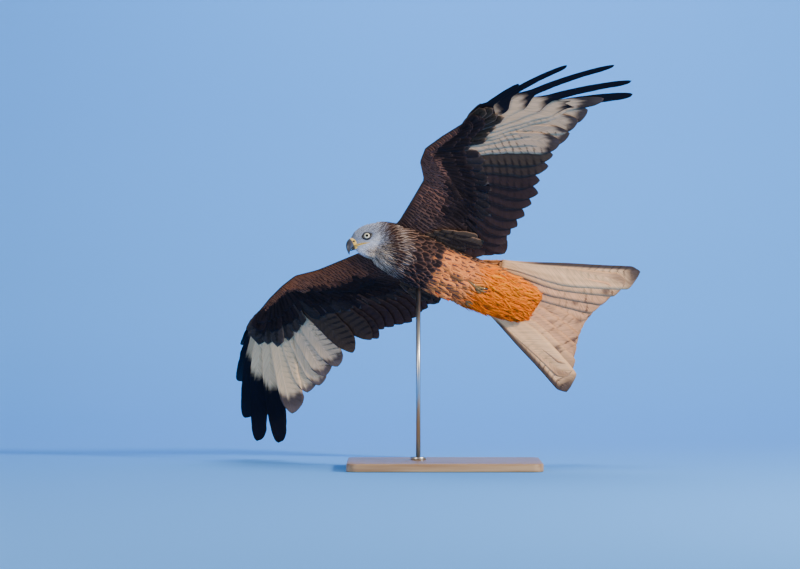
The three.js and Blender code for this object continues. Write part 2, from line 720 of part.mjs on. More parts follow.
const cereCutPlace = headCentre.clone().addScaledVector(headAxis, cereEnd);
const billParts = bySize(bill.subtract(grownHead).subtract(slab(cereCutPlace, headAxis, 60))).slice(0, 2);
const [cere, hook] = billParts.sort((one, other) => middle(one) - middle(other));
const nostrils = join([nostrilForm(1), nostrilForm(-1)]);
bird.add(toMesh(cere.subtract(nostrils), 'cere', 0xd8b25a, 0.5));
bird.add(toMesh(hook, 'bill_upper', 0x34343c, 0.35));
const lowerBill = toSolid(billForm(lowerBillRings, 0)).subtract(grownHead).subtract(toSolid(billForm(billRings, seam)));
bird.add(toMesh(lowerBill, 'bill_lower', 0x3c3c42, 0.4));

for (const [wing, sideName] of [[leftWing, 'left'], [rightWing, 'right']]) {
  const whole = join(wingForms(wing)).subtract(grownBody).subtract(wristCut(wing, wristCutTurn[sideName]));
  const reach = (solid) => Math.max(...[solid.boundingBox().min[1], solid.boundingBox().max[1]].map(Math.abs));
  const [arm, hand] = bySize(whole).slice(0, 2).sort((one, other) => reach(one) - reach(other));
  bird.add(toMesh(arm, `wing_${sideName}_arm`, 0x5a3a2a, 0.85));
  bird.add(toMesh(hand, `wing_${sideName}_hand`, 0x3a302c, 0.85));
}

bird.add(toMesh(join(tailForms()).subtract(grownBody), 'tail', 0xd8c2ae, 0.85));

for (const [name, side] of [['leg_left', 1], ['leg_right', -1]]) {
  bird.add(toMesh(join(legForms(side)).subtract(grownBody), name, 0xb4642c, 0.8));
}

const group = new THREE.Group();
group.add(bird);
group.add(toMesh(toSolid(baseForm()), 'stand_base', 0xc9ae86, 0.55));
const rod = toSolid(rodForm()).subtract(toSolid(bodyForm(seam).applyMatrix4(birdMatrix)));
group.add(toMesh(toSolid(collarForm()), 'stand_collar', 0xb8b8b8, 0.3, 1));
group.add(toMesh(rod, 'stand_rod', 0xb8b8b8, 0.3, 1));

export default group;
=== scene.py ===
# Red kite banking in flight, life size, on a plain display stand
import itertools
import math
import bpy
import bmesh
import numpy as np
from mathutils import Matrix, Vector
from mathutils.bvhtree import BVHTree


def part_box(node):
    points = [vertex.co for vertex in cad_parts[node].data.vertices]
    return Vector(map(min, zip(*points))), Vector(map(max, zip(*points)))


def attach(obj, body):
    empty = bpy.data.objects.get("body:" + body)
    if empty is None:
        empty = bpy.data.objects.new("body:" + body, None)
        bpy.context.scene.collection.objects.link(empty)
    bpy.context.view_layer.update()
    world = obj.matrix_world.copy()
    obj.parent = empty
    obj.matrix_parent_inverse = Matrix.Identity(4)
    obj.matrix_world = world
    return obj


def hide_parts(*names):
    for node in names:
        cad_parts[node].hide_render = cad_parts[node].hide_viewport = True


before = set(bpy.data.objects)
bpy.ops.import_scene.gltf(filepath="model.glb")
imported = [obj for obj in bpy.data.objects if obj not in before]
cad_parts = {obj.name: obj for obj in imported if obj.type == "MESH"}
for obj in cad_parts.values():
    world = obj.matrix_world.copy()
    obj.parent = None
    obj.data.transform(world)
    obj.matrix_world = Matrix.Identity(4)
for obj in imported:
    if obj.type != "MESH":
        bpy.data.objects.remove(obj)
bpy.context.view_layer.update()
print("frame loaded")

# The bird's own axes in the row frame: x to the bill, y to its left, z to its back, in millimetres
birdPose = {
    "centre": (-22, 28, 440),
    "nose": (-0.8602, -0.3026, 0.4104),
    "left": (0.509, -0.5591, 0.6545),
    "back": (0.0314, 0.7719, 0.635),
}
birdAxes = np.array([birdPose["nose"], birdPose["left"], birdPose["back"]], float)
birdCentre = np.array(birdPose["centre"], float)
rng = np.random.default_rng(11)


def toRow(points):
    return (np.asarray(points, float) @ birdAxes + birdCentre) / 1000


def unit(vectors):
    vectors = np.asarray(vectors, float)
    return vectors / np.maximum(np.linalg.norm(vectors, axis=-1, keepdims=True), 1e-9)


def smooth(low, high, value):
    share = np.clip((np.asarray(value, float) - low) / (high - low), 0, 1)
    return share * share * (3 - 2 * share)


# Between two numbers, or between two colours or points where they have three parts and the share has not
def mix(first, second, share):
    first, second, share = (np.asarray(value, float) for value in (first, second, share))
    if max(first.ndim, second.ndim) and share.ndim and share.shape[-1] != 1 and first.shape[-1:] == (3,):
        share = share[..., None]
    return first * (1 - share) + second * share


def alongList(values, share):
    return np.interp(share, np.linspace(0, 1, len(values)), values)


def alongSections(sections, name, places):
    at = np.array([one["at"] for one in sections], float)
    values = np.array([one[name] for one in sections], float)
    slopes = np.gradient(values, at)
    places = np.clip(places, at[0], at[-1])
    index = np.clip(np.searchsorted(at, places) - 1, 0, len(at) - 2)
    gap = at[index + 1] - at[index]
    share = (places - at[index]) / gap
    square, cube = share ** 2, share ** 3
    return ((2 * cube - 3 * square + 1) * values[index] + (cube - 2 * square + share) * gap * slopes[index]
            + (3 * square - 2 * cube) * values[index + 1] + (cube - square) * gap * slopes[index + 1])


def sectionAt(sections, place, inset):
    values = {key: float(alongSections(sections, key, place)) for key in sections[0] if key != "at"}
    return {key: value if key in ("side", "level", "roll") else value - inset for key, value in values.items()}


# Objects

def link(name, data):
    made = bpy.data.objects.new(name, data)
    bpy.context.scene.collection.objects.link(made)
    return made


def addObject(name, mesh, materials, hides=()):
    piece = link(name, mesh)
    for material in materials:
        mesh.materials.append(material)
    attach(piece, "root")
    if hides:
        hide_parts(*hides)
    return piece


def finishShape(shape, name, flip=True):
    bmesh.ops.remove_doubles(shape, verts=shape.verts, dist=1e-6)
    if flip:
        bmesh.ops.recalc_face_normals(shape, faces=shape.faces)
    mesh = bpy.data.meshes.new(name)
    shape.to_mesh(mesh)
    shape.free()
    mesh.polygons.foreach_set("use_smooth", [True] * len(mesh.polygons))
    return mesh


def readPoints(mesh, key="co"):
    values = np.empty(len(mesh.vertices) * 3)
    mesh.vertices.foreach_get(key, values)
    return values.reshape(-1, 3)


# Closed skin through placed rings; each ring is a list of points in the bird's frame
def loft(shape, rings):
    loops = []
    for ring in rings:
        made = bmesh.ops.create_circle(shape, segments=len(ring), radius=1)["verts"]
        for vertex, point in zip(made, toRow(ring)):
            vertex.co = point
        loops.append(made)
    for first, second in zip(loops, loops[1:]):
        edges = {edge for loop in (first, second) for vertex in loop for edge in vertex.link_edges
                 if all(end in loop for end in edge.verts)}
        bmesh.ops.bridge_loops(shape, edges=list(edges))
    for end in (loops[0], loops[-1]):
        bmesh.ops.contextual_create(shape, geom=list({edge for vertex in end for edge in vertex.link_edges
                                                      if all(tip in end for tip in edge.verts)}))


def ellipseRing(centre, across, upwards, half, up, down, around):
    angle = np.linspace(0, 2 * math.pi, around, endpoint=False)
    sine = np.sin(angle)
    height = np.where(sine > 0, up, down) * sine
    return np.asarray(centre) + np.outer(half * np.cos(angle), across) + np.outer(height, upwards)


# Vanes: many thin closed blades as one mesh, from centre lines with their own across and normal directions

def framesOf(lines, upward, side=1.0, tilt=0.0):
    ahead = unit(np.gradient(lines, axis=1))
    across = unit(np.cross(ahead, upward) * side)
    normal = unit(np.cross(across, ahead) * side)
    angle = np.radians(tilt)
    if np.ndim(angle):
        angle = np.asarray(angle)[:, None, None]
    return across * np.cos(angle) + normal * np.sin(angle), normal * np.cos(angle) - across * np.sin(angle)


def storeColours(mesh, key, colours):
    layer = mesh.attributes.new(key, "FLOAT_COLOR", "POINT")
    layer.data.foreach_set("color", colours.astype(np.float32).ravel())


def setPointColour(mesh, key, colours):
    full = np.ones((len(mesh.vertices), 4))
    full[:, :3] = colours
    storeColours(mesh, key, full)


# Faces over one vane, and which of them are flat: its edges and ends
def vaneFaces(stations, columns):
    around = 2 * columns
    i, j = np.meshgrid(np.arange(stations - 1), np.arange(around), indexing="ij")
    after = (j + 1) % around
    sides = np.stack([i * around + j, i * around + after, (i + 1) * around + after, (i + 1) * around + j], -1)
    k = np.arange(columns - 1)
    start = np.stack([k, around - 1 - k, around - 2 - k, k + 1], -1)
    end = start[:, ::-1] + (stations - 1) * around
    flat = np.concatenate([((j == columns - 1) | (j == around - 1)).reshape(-1), np.ones(2 * len(k), bool)])
    return np.concatenate([sides.reshape(-1, 4), start, end]), flat


def vaneMesh(name, lines, across, normals, halves, lengthAt, columns=5, thick=0.5, edge=0.2, camber=0.1,
             lead=0.5, paint=None, bakeAt=None, bakeSize=0.003):
    count, stations = halves.shape
    u = np.linspace(-1, 1, columns)
    lead = np.broadcast_to(np.asarray(lead, float), (count,))[:, None, None]
    share = np.where(u[None, None, :] > 0, 2 * lead, 2 * (1 - lead)) * u[None, None, :]
    offset = halves[:, :, None] * share
    camber = np.broadcast_to(np.asarray(camber, float), (count,))[:, None, None]
    drop = camber * halves[:, :, None] * u[None, None, :] ** 2
    taper = np.clip((1 - lengthAt) / 0.25, 0.25, 1)
    taper = taper[None, :, None] if taper.ndim == 1 else taper[:, :, None]
    body = edge + (np.asarray(thick, float).reshape(-1, 1, 1) - edge) * (1 - np.abs(u)[None, None, :]) ** 1.5
    deep = body * taper / 2
    middle = lines[:, :, None, :] + across[:, :, None, :] * offset[..., None]
    top = middle + normals[:, :, None, :] * (deep - drop)[..., None]
    low = middle - normals[:, :, None, :] * (deep + drop)[..., None]
    points = np.concatenate([top, low[:, :, ::-1]], axis=2)
    around = 2 * columns
    station = np.broadcast_to(lengthAt if lengthAt.ndim == 2 else lengthAt[None, :], (count, stations))
    uv = np.empty((count, stations, around, 2))
    uv[..., 0] = np.concatenate([(u + 1) / 2, (u[::-1] + 1) / 2])[None, None, :]
    uv[..., 1] = station[:, :, None]
    quads, flat = vaneFaces(stations, columns)
    spot = points[0].reshape(-1, 3)
    middleSpot = spot.mean(0)
    volume = sum(np.dot(spot[a] - middleSpot, np.cross(spot[b] - middleSpot, spot[c] - middleSpot))
                 + np.dot(spot[a] - middleSpot, np.cross(spot[c] - middleSpot, spot[d] - middleSpot))
                 for a, b, c, d in quads)
    if volume < 0:
        quads = quads[:, ::-1]
    every = (quads[None] + (np.arange(count) * stations * around)[:, None, None]).reshape(-1, 4)
    mesh = bpy.data.meshes.new(name)
    mesh.vertices.add(count * stations * around)
    mesh.vertices.foreach_set("co", toRow(points.reshape(-1, 3)).astype(np.float32).ravel())
    mesh.loops.add(every.size)
    mesh.loops.foreach_set("vertex_index", every.astype(np.int32).ravel())
    mesh.polygons.add(len(every))
    mesh.polygons.foreach_set("loop_start", np.arange(0, every.size, 4, dtype=np.int32))
    mesh.update(calc_edges=True)
    mesh.polygons.foreach_set("use_smooth", ~np.tile(flat, count))
    layer = mesh.uv_layers.new(name="feather")
    layer.data.foreach_set("uv", uv.reshape(-1, 2)[every.ravel()].astype(np.float32).ravel())
    bake = mesh.uv_layers.new(name="OFBake")
    place = np.asarray(bakeAt, float)[:, None, None, :]
    size = np.broadcast_to(np.asarray(bakeSize, float), (2,))
    patch = place + (uv - 0.5) * size[None, None, None, :]
    bake.data.foreach_set("uv", patch.reshape(-1, 2)[every.ravel()].astype(np.float32).ravel())
    for key, value in (paint or {}).items():
        value = np.asarray(value, float)
        if value.ndim == 2:
            value = value[:, None, None, :]
        elif value.ndim == 3:
            value = value[:, :, None, :]
        full = np.ones((count, stations, around, 4))
        full[..., :value.shape[-1]] = value
        storeColours(mesh, key, full)
    mesh.validate()
    return mesh


def easedStations(count, tipShare=0.5):
    even = np.linspace(0, 1, count)
    return even * (1 - tipShare) + np.sin(even * math.pi / 2) * tipShare


def roundOutline(t, root=0.35, full=0.3, tip=0.86):
    wide = mix(root, 1.0, smooth(0, full, t))
    end = np.sqrt(np.clip(1 - np.clip((t - tip) / (1 - tip), 0, 1) ** 2.2, 0.0004, 1))
    return wide * end


def ogiveOutline(t, tip):
    share = np.clip((t - tip) / (1 - tip), 0, 1)
    return mix(0.35, 1.0, smooth(0, 0.3, t)) * (0.02 + 0.98 * (1 - share ** 2) ** 0.72)


def fingerOutline(t, notch, slim):
    wide = mix(0.35, 1.0, smooth(0, 0.25, t))
    narrow = mix(1.0, slim, smooth(notch - 0.07, notch + 0.07, t))
    lean = 1 - 0.25 * smooth(notch + 0.05, 1, t)
    end = np.sqrt(np.clip(1 - np.clip((t - 0.9) / 0.1, 0, 1) ** 2, 0.0004, 1))
    return wide * narrow * lean * end


# Wings. Places along one: 0 shoulder, 1 elbow, 2 wrist, 3 tip of the hand

wings = {
    "left": {
        "side": 1,
        "joints": [[62, 48, 22], [35, 170, 30], [158, 246, 26], [130, 345, 20]],
        "patagium": [56, 74, 93, 64, 12, 13, 10],
        "tertialTurn": [184, 188, 193, 199],
        "tertialLength": [118, 136, 152, 166],
        "secondaryTurn": [203, 199, 192, 185, 177, 169, 163, 157, 150, 146],
        "secondaryLength": [172, 167, 169, 180, 190, 201, 216, 221, 243, 259],
        "primaryTurn": [141, 138, 133, 130, 127, 128, 123, 116, 107, 100],
        "primaryLength": [276, 290, 306, 324, 357, 411, 415, 392, 300, 176],
        "tertialTip": 12,
        "secondaryTip": 9,
        "primaryTip": [8, 7, 6, 5, -2, -12, -22, -20, -15, 0],
        "nodes": ("wing_left_arm", "wing_left_hand"),
    },
    "right": {
        "side": -1,
        "joints": [[62, -48, 22], [109, -164, 24], [235, -240, 18], [240, -338, 30]],
        "patagium": [70, 80, 90, 62, 10, 11, 8],
        "tertialTurn": [187, 191, 195, 199],
        "tertialLength": [132, 148, 160, 168],
        "secondaryTurn": [197, 194, 190, 186, 184, 181, 178, 172, 171, 159],
        "secondaryLength": [178, 183, 192, 200, 199, 197, 195, 213, 215, 224],
        "primaryTurn": [148, 141, 138, 133, 126, 121, 115, 111, 107, 103],
        "primaryLength": [248, 259, 277, 286, 335, 420, 435, 401, 338, 206],
        "tertialTip": 9,
        "secondaryTip": 10,
        "primaryTip": [18, 20, 22, 24, 22, 28, 55, 95, 140, 120],
        "nodes": ("wing_right_arm", "wing_right_hand"),
    },
}
wingShape = {
    "tertials": 4, "secondaries": 10, "primaries": 10,
    "armThickness": [30, 25, 21, 17, 13, 8, 4.5],
    "armEdge": 2.6,
    "armReach": [52, 52, 52, 52, 52, 50, 30],
    "bow": 0.035, "armBow": 0.3, "sag": 0.03, "sagLevel": 20, "sagEase": 0.4, "thinning": 0.7,
    "frontShare": [0, 0.25, 0.65, 0.93, 1.0],
    "frontDepth": [1, 0.95, 0.72, 0.42, 0.14],
    "skinFronts": [1, 0.97, 0.86, 0.7, 0.5, 0.3, 0.1], "skinBacks": [0, 0.25, 0.5, 0.75, 0.98],
    "skinFrom": -0.3, "skinSections": 40, "skinDepth": 1.2, "skinTone": (0.06, 0.035, 0.028),
}


def bonePlace(wing, places):
    joints = np.array(wing["joints"], float)
    index = np.clip(np.floor(places).astype(int), 0, 2)
    share = (places - index)[:, None]
    return joints[index] * (1 - share) + joints[index + 1] * share


def quillRank(places):
    tertials, secondaries = wingShape["tertials"], wingShape["secondaries"]
    rank = np.where(places < 1, places * tertials, tertials + (places - 1) * secondaries)
    return (rank - 0.5) / (tertials + secondaries + wingShape["primaries"] - 1)


# Root, middle handle and tip of the quill at each place
def quillEnds(wing, places):
    share = quillRank(places)
    root = bonePlace(wing, places)
    turn = np.radians(alongList(wing["tertialTurn"] + wing["secondaryTurn"] + wing["primaryTurn"], share))
    length = alongList(wing["tertialLength"] + wing["secondaryLength"] + wing["primaryLength"], share)
    levels = [wing["tertialTip"]] * wingShape["tertials"] + [wing["secondaryTip"]] * wingShape["secondaries"]
    rise = alongList(levels + wing["primaryTip"], share) - root[:, 2]
    level = np.sqrt(length ** 2 - rise ** 2)
    tip = root + np.stack([np.cos(turn) * level, wing["side"] * np.sin(turn) * level, rise], -1)
    bow = np.where(places > 2, 1, wingShape["armBow"]) * wingShape["bow"]
    sag = wingShape["sag"] - np.maximum((rise - wingShape["sagLevel"]) / length * wingShape["sagEase"], 0)
    across = unit(np.cross(tip - root, [0, 0, 1])) * wing["side"]
    handle = (root + tip) / 2 + across * (2 * bow * length)[:, None]
    handle[:, 2] += 2 * sag * length
    return root, handle, tip, length


def onCurve(root, handle, tip, t):
    t = t[..., None]
    return (1 - t) ** 2 * root[:, None] + 2 * t * (1 - t) * handle[:, None] + t ** 2 * tip[:, None]


def armHalf(places, distance):
    full = alongList(wingShape["armThickness"], places / 3) / 2
    share = np.clip(distance / alongList(wingShape["armReach"], places / 3), 0, 1) ** wingShape["thinning"]
    return full * (1 - share) + wingShape["armEdge"] / 2 * share


# Points over the wing: distance behind the bones, negative to the leading edge,
# and height off its upper or lower face
def wingPoint(wing, places, distance, height, face):
    places, distance = np.broadcast_arrays(np.asarray(places, float), np.asarray(distance, float))
    flat, back = places.ravel(), distance.ravel()
    root, handle, tip, length = quillEnds(wing, np.maximum(flat, 0.05))
    bone = bonePlace(wing, flat)
    patagium = alongList(wing["patagium"], flat / 3)
    behind = onCurve(root, handle, tip, np.clip(back / length, 0, 1)[:, None])[:, 0]
    share = np.clip(-back / patagium, 0, 1)
    ahead = bone + np.stack([patagium * share, np.zeros(len(share)), share], -1)
    point = np.where((back > 0)[:, None], behind, ahead)
    depth = np.interp(share, wingShape["frontShare"], wingShape["frontDepth"])
    half = np.where(back > 0, armHalf(flat, np.maximum(back, 0)), depth * armHalf(flat, 0))
    point[:, 2] += face * (half + np.broadcast_to(height, places.shape).ravel())
    return point.reshape(places.shape + (3,))


def wingSkin(wing, name, material):
    shape = bmesh.new()
    rings = []
    for place in np.linspace(wingShape["skinFrom"], 3, wingShape["skinSections"]):
        patagium = alongList(wing["patagium"], place / 3)
        reach = alongList(wingShape["armReach"], place / 3)
        distance = np.array([-share * patagium for share in wingShape["skinFronts"]]
                            + [share * reach for share in wingShape["skinBacks"]])
        places = np.full(len(distance), place)
        upper, lower = (wingPoint(wing, places, distance, -wingShape["skinDepth"], face) for face in (1, -1))
        rings.append(np.concatenate([upper, lower[::-1]]))
    loft(shape, rings)
    mesh = finishShape(shape, name)
    setPointColour(mesh, "tone", wingShape["skinTone"])
    return addObject(name, mesh, [material], wing["nodes"])


# Materials

def node(tree, kind, **values):
    made = tree.nodes.new(kind)
    for key, value in values.items():
        setattr(made, key, value)
    return made


def feed(tree, socket, value):
    if hasattr(value, "is_output"):
        tree.links.new(value, socket)
    elif value is not None:
        socket.default_value = value


def calc(tree, operation, first, second=None, third=None, clamp=False):
    made = node(tree, "ShaderNodeMath", operation=operation, use_clamp=clamp)
    for socket, value in zip(made.inputs, (first, second, third)):
        feed(tree, socket, value)
    return made.outputs[0]


def ramp(tree, value, low, high, toLow=0.0, toHigh=1.0):
    made = node(tree, "ShaderNodeMapRange", interpolation_type="SMOOTHSTEP")
    given = {"Value": value, "From Min": low, "From Max": high, "To Min": toLow, "To Max": toHigh}
    for key, item in given.items():
        feed(tree, made.inputs[key], item)
    return made.outputs["Result"]


def blend(tree, share, first, second, kind="MIX"):
    made = node(tree, "ShaderNodeMix", data_type="RGBA", blend_type=kind)
    for place, value in ((0, share), (6, first), (7, second)):
        feed(tree, made.inputs[place], value)
    return made.outputs[2]


def parts(tree, value):
    made = node(tree, "ShaderNodeSeparateXYZ")
    feed(tree, made.inputs[0], value)
    return made.outputs


def vector(tree, *values):
    made = node(tree, "ShaderNodeCombineXYZ")
    for socket, value in zip(made.inputs, values):
        feed(tree, socket, value)
    return made.outputs[0]


def noise(tree, place, scale, detail):
    made = node(tree, "ShaderNodeTexNoise")
    feed(tree, made.inputs["Vector"], place)
    made.inputs["Scale"].default_value = scale
    made.inputs["Detail"].default_value = detail
    return made.outputs["Fac"]


def objectPlace(tree):
    return node(tree, "ShaderNodeTexCoord").outputs["Object"]


# A colour made lighter or darker by one number
def shaded(tree, colour, shade):
    return blend(tree, 1.0, colour, vector(tree, shade, shade, shade), "MULTIPLY")


def raised(tree, shader, height, distance, strength=1.0):
    bump = node(tree, "ShaderNodeBump")
    bump.inputs["Distance"].default_value = distance
    bump.inputs["Strength"].default_value = strength
    feed(tree, bump.inputs["Height"], height)
    feed(tree, shader.inputs["Normal"], bump.outputs[0])


def newMaterial(name, roughness, colour=None):
    material = bpy.data.materials.new(name)
    material.use_nodes = True
    shader = material.node_tree.nodes["Principled BSDF"]
    shader.inputs["Roughness"].default_value = roughness
    if colour:
        shader.inputs["Base Color"].default_value = (*colour, 1)
    return material, material.node_tree, shader


def newGroup(name, inputs, outputs):
    group = bpy.data.node_groups.new(name, "ShaderNodeTree")
    for label, kind, value in inputs:
        socket = group.interface.new_socket(name=label, in_out="INPUT", socket_type=kind)
        if value is not None:
            socket.default_value = value
    for label, kind in outputs:
        group.interface.new_socket(name=label, in_out="OUTPUT", socket_type=kind)
    return group, group.nodes.new("NodeGroupInput"), group.nodes.new("NodeGroupOutput")


def featherMarks():
    group, given, out = newGroup("featherMarks", [
        ("Place", "NodeSocketVector", None), ("Pattern", "NodeSocketVector", None),
        ("Bars", "NodeSocketVector", None), ("Fineness", "NodeSocketFloat", 40.0),
        ("Seed", "NodeSocketFloat", 0.0),
    ], [(label, "NodeSocketFloat") for label in ("Mark", "Rim", "Barbs", "Shaft", "Height")])
    acrossVane, along, _ = parts(group, given.outputs["Place"])
    streakWide, streakEnd, edge = parts(group, given.outputs["Pattern"])
    barShare, barCount, barWide = parts(group, given.outputs["Bars"])
    aside = calc(group, "ABSOLUTE", calc(group, "MULTIPLY_ADD", acrossVane, 2.0, -1.0))
    slant = calc(group, "MULTIPLY_ADD", aside, -0.14, along)
    barbs = noise(group, vector(group, calc(group, "MULTIPLY", slant, given.outputs["Fineness"]),
                                calc(group, "MULTIPLY", given.outputs["Seed"], 57.0),
                                calc(group, "MULTIPLY", acrossVane, 2.2)), 1.0, 2.0)
    loose = calc(group, "SUBTRACT", barbs, 0.5)
    # a drop along the shaft
    reach = calc(group, "DIVIDE", along, calc(group, "MAXIMUM", streakEnd, 0.05), clamp=True)
    drop = calc(group, "MULTIPLY", calc(group, "POWER", reach, 0.6),
                calc(group, "SUBTRACT", 1.0, calc(group, "POWER", reach, 4.0)))
    wide = calc(group, "MULTIPLY", calc(group, "MULTIPLY", drop, 1.45), streakWide)
    ragged = calc(group, "MULTIPLY_ADD", loose, 0.45, aside)
    inside, outside = calc(group, "SUBTRACT", wide, 0.09), calc(group, "ADD", wide, 0.09)
    streak = ramp(group, ragged, inside, outside, 1.0, 0.0)
    streak = calc(group, "MULTIPLY", streak, ramp(group, streakWide, 0.0, 0.05))
    # bars across the vane
    lean = calc(group, "MULTIPLY_ADD", loose, 0.05, calc(group, "MULTIPLY_ADD", aside, -0.03, along))
    wave = calc(group, "SINE", calc(group, "MULTIPLY", lean, calc(group, "MULTIPLY", barCount, 2 * math.pi)))
    band = calc(group, "MULTIPLY", ramp(group, wave, barWide, calc(group, "ADD", barWide, 0.5)), barShare)
    # the rim at the sides and the tip
    toEdge = calc(group, "MAXIMUM", aside, calc(group, "MULTIPLY_ADD", along, 3.4, -2.4))
    rimAt = calc(group, "SUBTRACT", 1.0, edge)
    rim = ramp(group, calc(group, "MULTIPLY_ADD", loose, 0.3, toEdge), calc(group, "SUBTRACT", rimAt, 0.12),
               calc(group, "ADD", rimAt, 0.06))
    rim = calc(group, "MULTIPLY", rim, ramp(group, edge, 0.0, 0.04))
    shaft = ramp(group, aside, 0.02, 0.06, 1.0, 0.0)
    height = calc(group, "MULTIPLY_ADD", barbs, 0.6, calc(group, "MULTIPLY", shaft, 0.8))
    for key, value in (("Mark", calc(group, "MAXIMUM", streak, band)), ("Rim", rim), ("Barbs", barbs),
                       ("Shaft", shaft), ("Height", height)):
        feed(group, out.inputs[key], value)
    return group


marksGroup = featherMarks()


# Plumage reads what each feather carries: its tone, mark and rim colours, and the sizes of its marks
def plumage(name, fineness, roughness, relief, shaftGain=1.5, shaftShare=0.35):
    material, tree, shader = newMaterial(name, roughness)
    read = {key: node(tree, "ShaderNodeAttribute", attribute_name=key)
            for key in ("tone", "mark", "rim", "pattern", "bars")}
    marks = node(tree, "ShaderNodeGroup", node_tree=marksGroup)
    feed(tree, marks.inputs["Place"], node(tree, "ShaderNodeUVMap", uv_map="feather").outputs[0])
    feed(tree, marks.inputs["Pattern"], read["pattern"].outputs["Vector"])
    feed(tree, marks.inputs["Bars"], read["bars"].outputs["Vector"])
    feed(tree, marks.inputs["Seed"], read["bars"].outputs["Alpha"])
    marks.inputs["Fineness"].default_value = fineness
    colour = blend(tree, marks.outputs["Mark"], read["tone"].outputs["Color"], read["mark"].outputs["Color"])
    colour = blend(tree, marks.outputs["Rim"], colour, read["rim"].outputs["Color"])
    shaft = calc(tree, "MULTIPLY", marks.outputs["Shaft"], read["tone"].outputs["Alpha"])
    bright = blend(tree, 1.0, colour, (shaftGain, shaftGain, shaftGain, 1), "MULTIPLY")
    colour = blend(tree, calc(tree, "MULTIPLY", shaft, shaftShare), colour, bright)
    shade = ramp(tree, marks.outputs["Barbs"], 0.2, 0.8, 0.72, 1.22)
    feed(tree, shader.inputs["Base Color"], shaded(tree, colour, shade))
    shader.inputs["Specular IOR Level"].default_value = 0.06
    raised(tree, shader, marks.outputs["Height"], relief, 0.6)
    return material


# Horn, bare skin, scales and eyes: a tone carried by the points, a faint mottle and relief, a clear coat
def coatedMaterial(name, roughness, clear, scale, relief, shine=0.5):
    material, tree, shader = newMaterial(name, roughness)
    tone = node(tree, "ShaderNodeAttribute", attribute_name="tone").outputs["Color"]
    shader.inputs["Coat Weight"].default_value = clear
    shader.inputs["Coat Roughness"].default_value = 0.05
    shader.inputs["Specular IOR Level"].default_value = shine
    if scale:
        mottle = noise(tree, objectPlace(tree), scale, 3)
        tone = shaded(tree, tone, ramp(tree, mottle, 0.3, 0.7, 0.82, 1.12))
        raised(tree, shader, mottle, relief)
    feed(tree, shader.inputs["Base Color"], tone)
    return material


# Skin under the plumage: the tone between the feathers, from an attribute; on the body it is the coat's colour
# darkened as painted shade between the feathers
def downMaterial(name):
    material, tree, shader = newMaterial(name, 0.9)
    tone = node(tree, "ShaderNodeAttribute", attribute_name="tone").outputs["Color"]
    fluff = noise(tree, objectPlace(tree), 700, 4)
    feed(tree, shader.inputs["Base Color"], shaded(tree, tone, ramp(tree, fluff, 0.3, 0.7, 0.6, 1.1)))
    raised(tree, shader, fluff, 0.0008)
    return material


contourPaint = plumage("contour plumage", 34, 0.85, 0.0004)
flightPaint = plumage("flight feathers", 170, 0.62, 0.0005, shaftGain=1.4, shaftShare=0.3)
downPaint = downMaterial("down")
hornPaint = coatedMaterial("horn", 0.32, 0.25, 500, 0.00006)
skinPaint = coatedMaterial("bare skin", 0.42, 0.15, 900, 0.00012)
footPaint = coatedMaterial("scaled foot", 0.5, 0.1, 420, 0.0004)
eyePaint = coatedMaterial("eye", 0.2, 0.03, 0, 0.0, 0.05)


# Flight feathers

flight = {
    "stations": 44, "columns": 11, "thick": 1.0, "edge": 0.3, "camber": 0.045, "rootAt": 0.03,
    "tilt": (4.6, 3.2),                                      # arm and hand, in degrees
    "leadAt": [0, 4, 14, 19, 23], "lead": [0.44, 0.40, 0.36, 0.30, 0.24],
    "widths": [58, 60, 55], "fingerWidth": {"left": 44, "right": 51}, "fingers": 5,
    "notch": {"left": [0.58, 0.49, 0.44, 0.42, 0.44], "right": [0.66, 0.60, 0.56, 0.54, 0.56]},
    "slim": {"left": [0.56, 0.42, 0.36, 0.34, 0.34], "right": [0.88, 0.84, 0.82, 0.80, 0.80]},
    "halfFinger": (0.70, 0.55), "armTip": 0.72, "handTip": 0.84,
    # The right wing's cream, inner cream and brown tips are painted lighter than the left's: painted sunlight
    # on the right underwing and painted shade on the left, over one plumage
    "cream": {"left": (0.78, 0.45, 0.235), "right": (0.98, 0.62, 0.31)},
    "creamInner": {"left": (0.64, 0.38, 0.21), "right": (0.80, 0.52, 0.29)},
    "black": (0.009, 0.0075, 0.011),
    "brownTip": {"left": (0.095, 0.060, 0.046), "right": (0.17, 0.115, 0.09)},
    "secondary": (0.043, 0.023, 0.020), "grey": (0.070, 0.044, 0.029),
    "bar": (0.014, 0.010, 0.010), "barStep": 16, "barWide": (0.22, 0.6),
    "barOnPrimary": [1.0, 1.0, 0.925, 0.85, 0.4, 0.0], "barOnArm": [0.15, 0.6, 0.8],
    "dashEnd": {"left": [-0.6, -0.4], "right": [-0.4, 0.1]}, "dash": [0.45, 1.0, 0.8, 0.0],
    "windowEnd": {"left": [0.91, 0.93, 0.94, 0.93, 0.86, 0.63, 0.52, 0.43, 0.33, 0.18],
                  "right": [0.91, 0.93, 0.95, 0.95, 0.86, 0.62, 0.53, 0.43, 0.30, 0.16]},
    "upper": (0.026, 0.018, 0.017), "upperRim": (0.074, 0.0444, 0.034), "upperGrey": (0.08, 0.062, 0.055),
}


# Places of the quills along the wing, and their ranks from the body and from the first primary
def quillPlaces():
    numbers = [wingShape[key] for key in ("tertials", "secondaries", "primaries")]
    places = np.concatenate([part + (np.arange(number) + 0.5) / number
                             for part, number in enumerate(numbers)])
    rank = np.arange(len(places))
    return places, rank, rank - numbers[0] - numbers[1]


def flightOutlines(sideName, primary, t):
    rows = []
    for index, order in enumerate(primary):
        finger = order - flight["fingers"]
        if finger >= 0:
            outline = fingerOutline(t, flight["notch"][sideName][finger], flight["slim"][sideName][finger])
        elif finger == -1 and sideName == "left":
            outline = fingerOutline(t, *flight["halfFinger"])
        else:
            outline = ogiveOutline(t, flight["handTip"] if order >= 0 else flight["armTip"])
        rows.append(outline * (1 + 0.02 * np.sin(t * 40 + index * 2.3) + 0.012 * np.sin(t * 97 + index)))
    return np.array(rows)


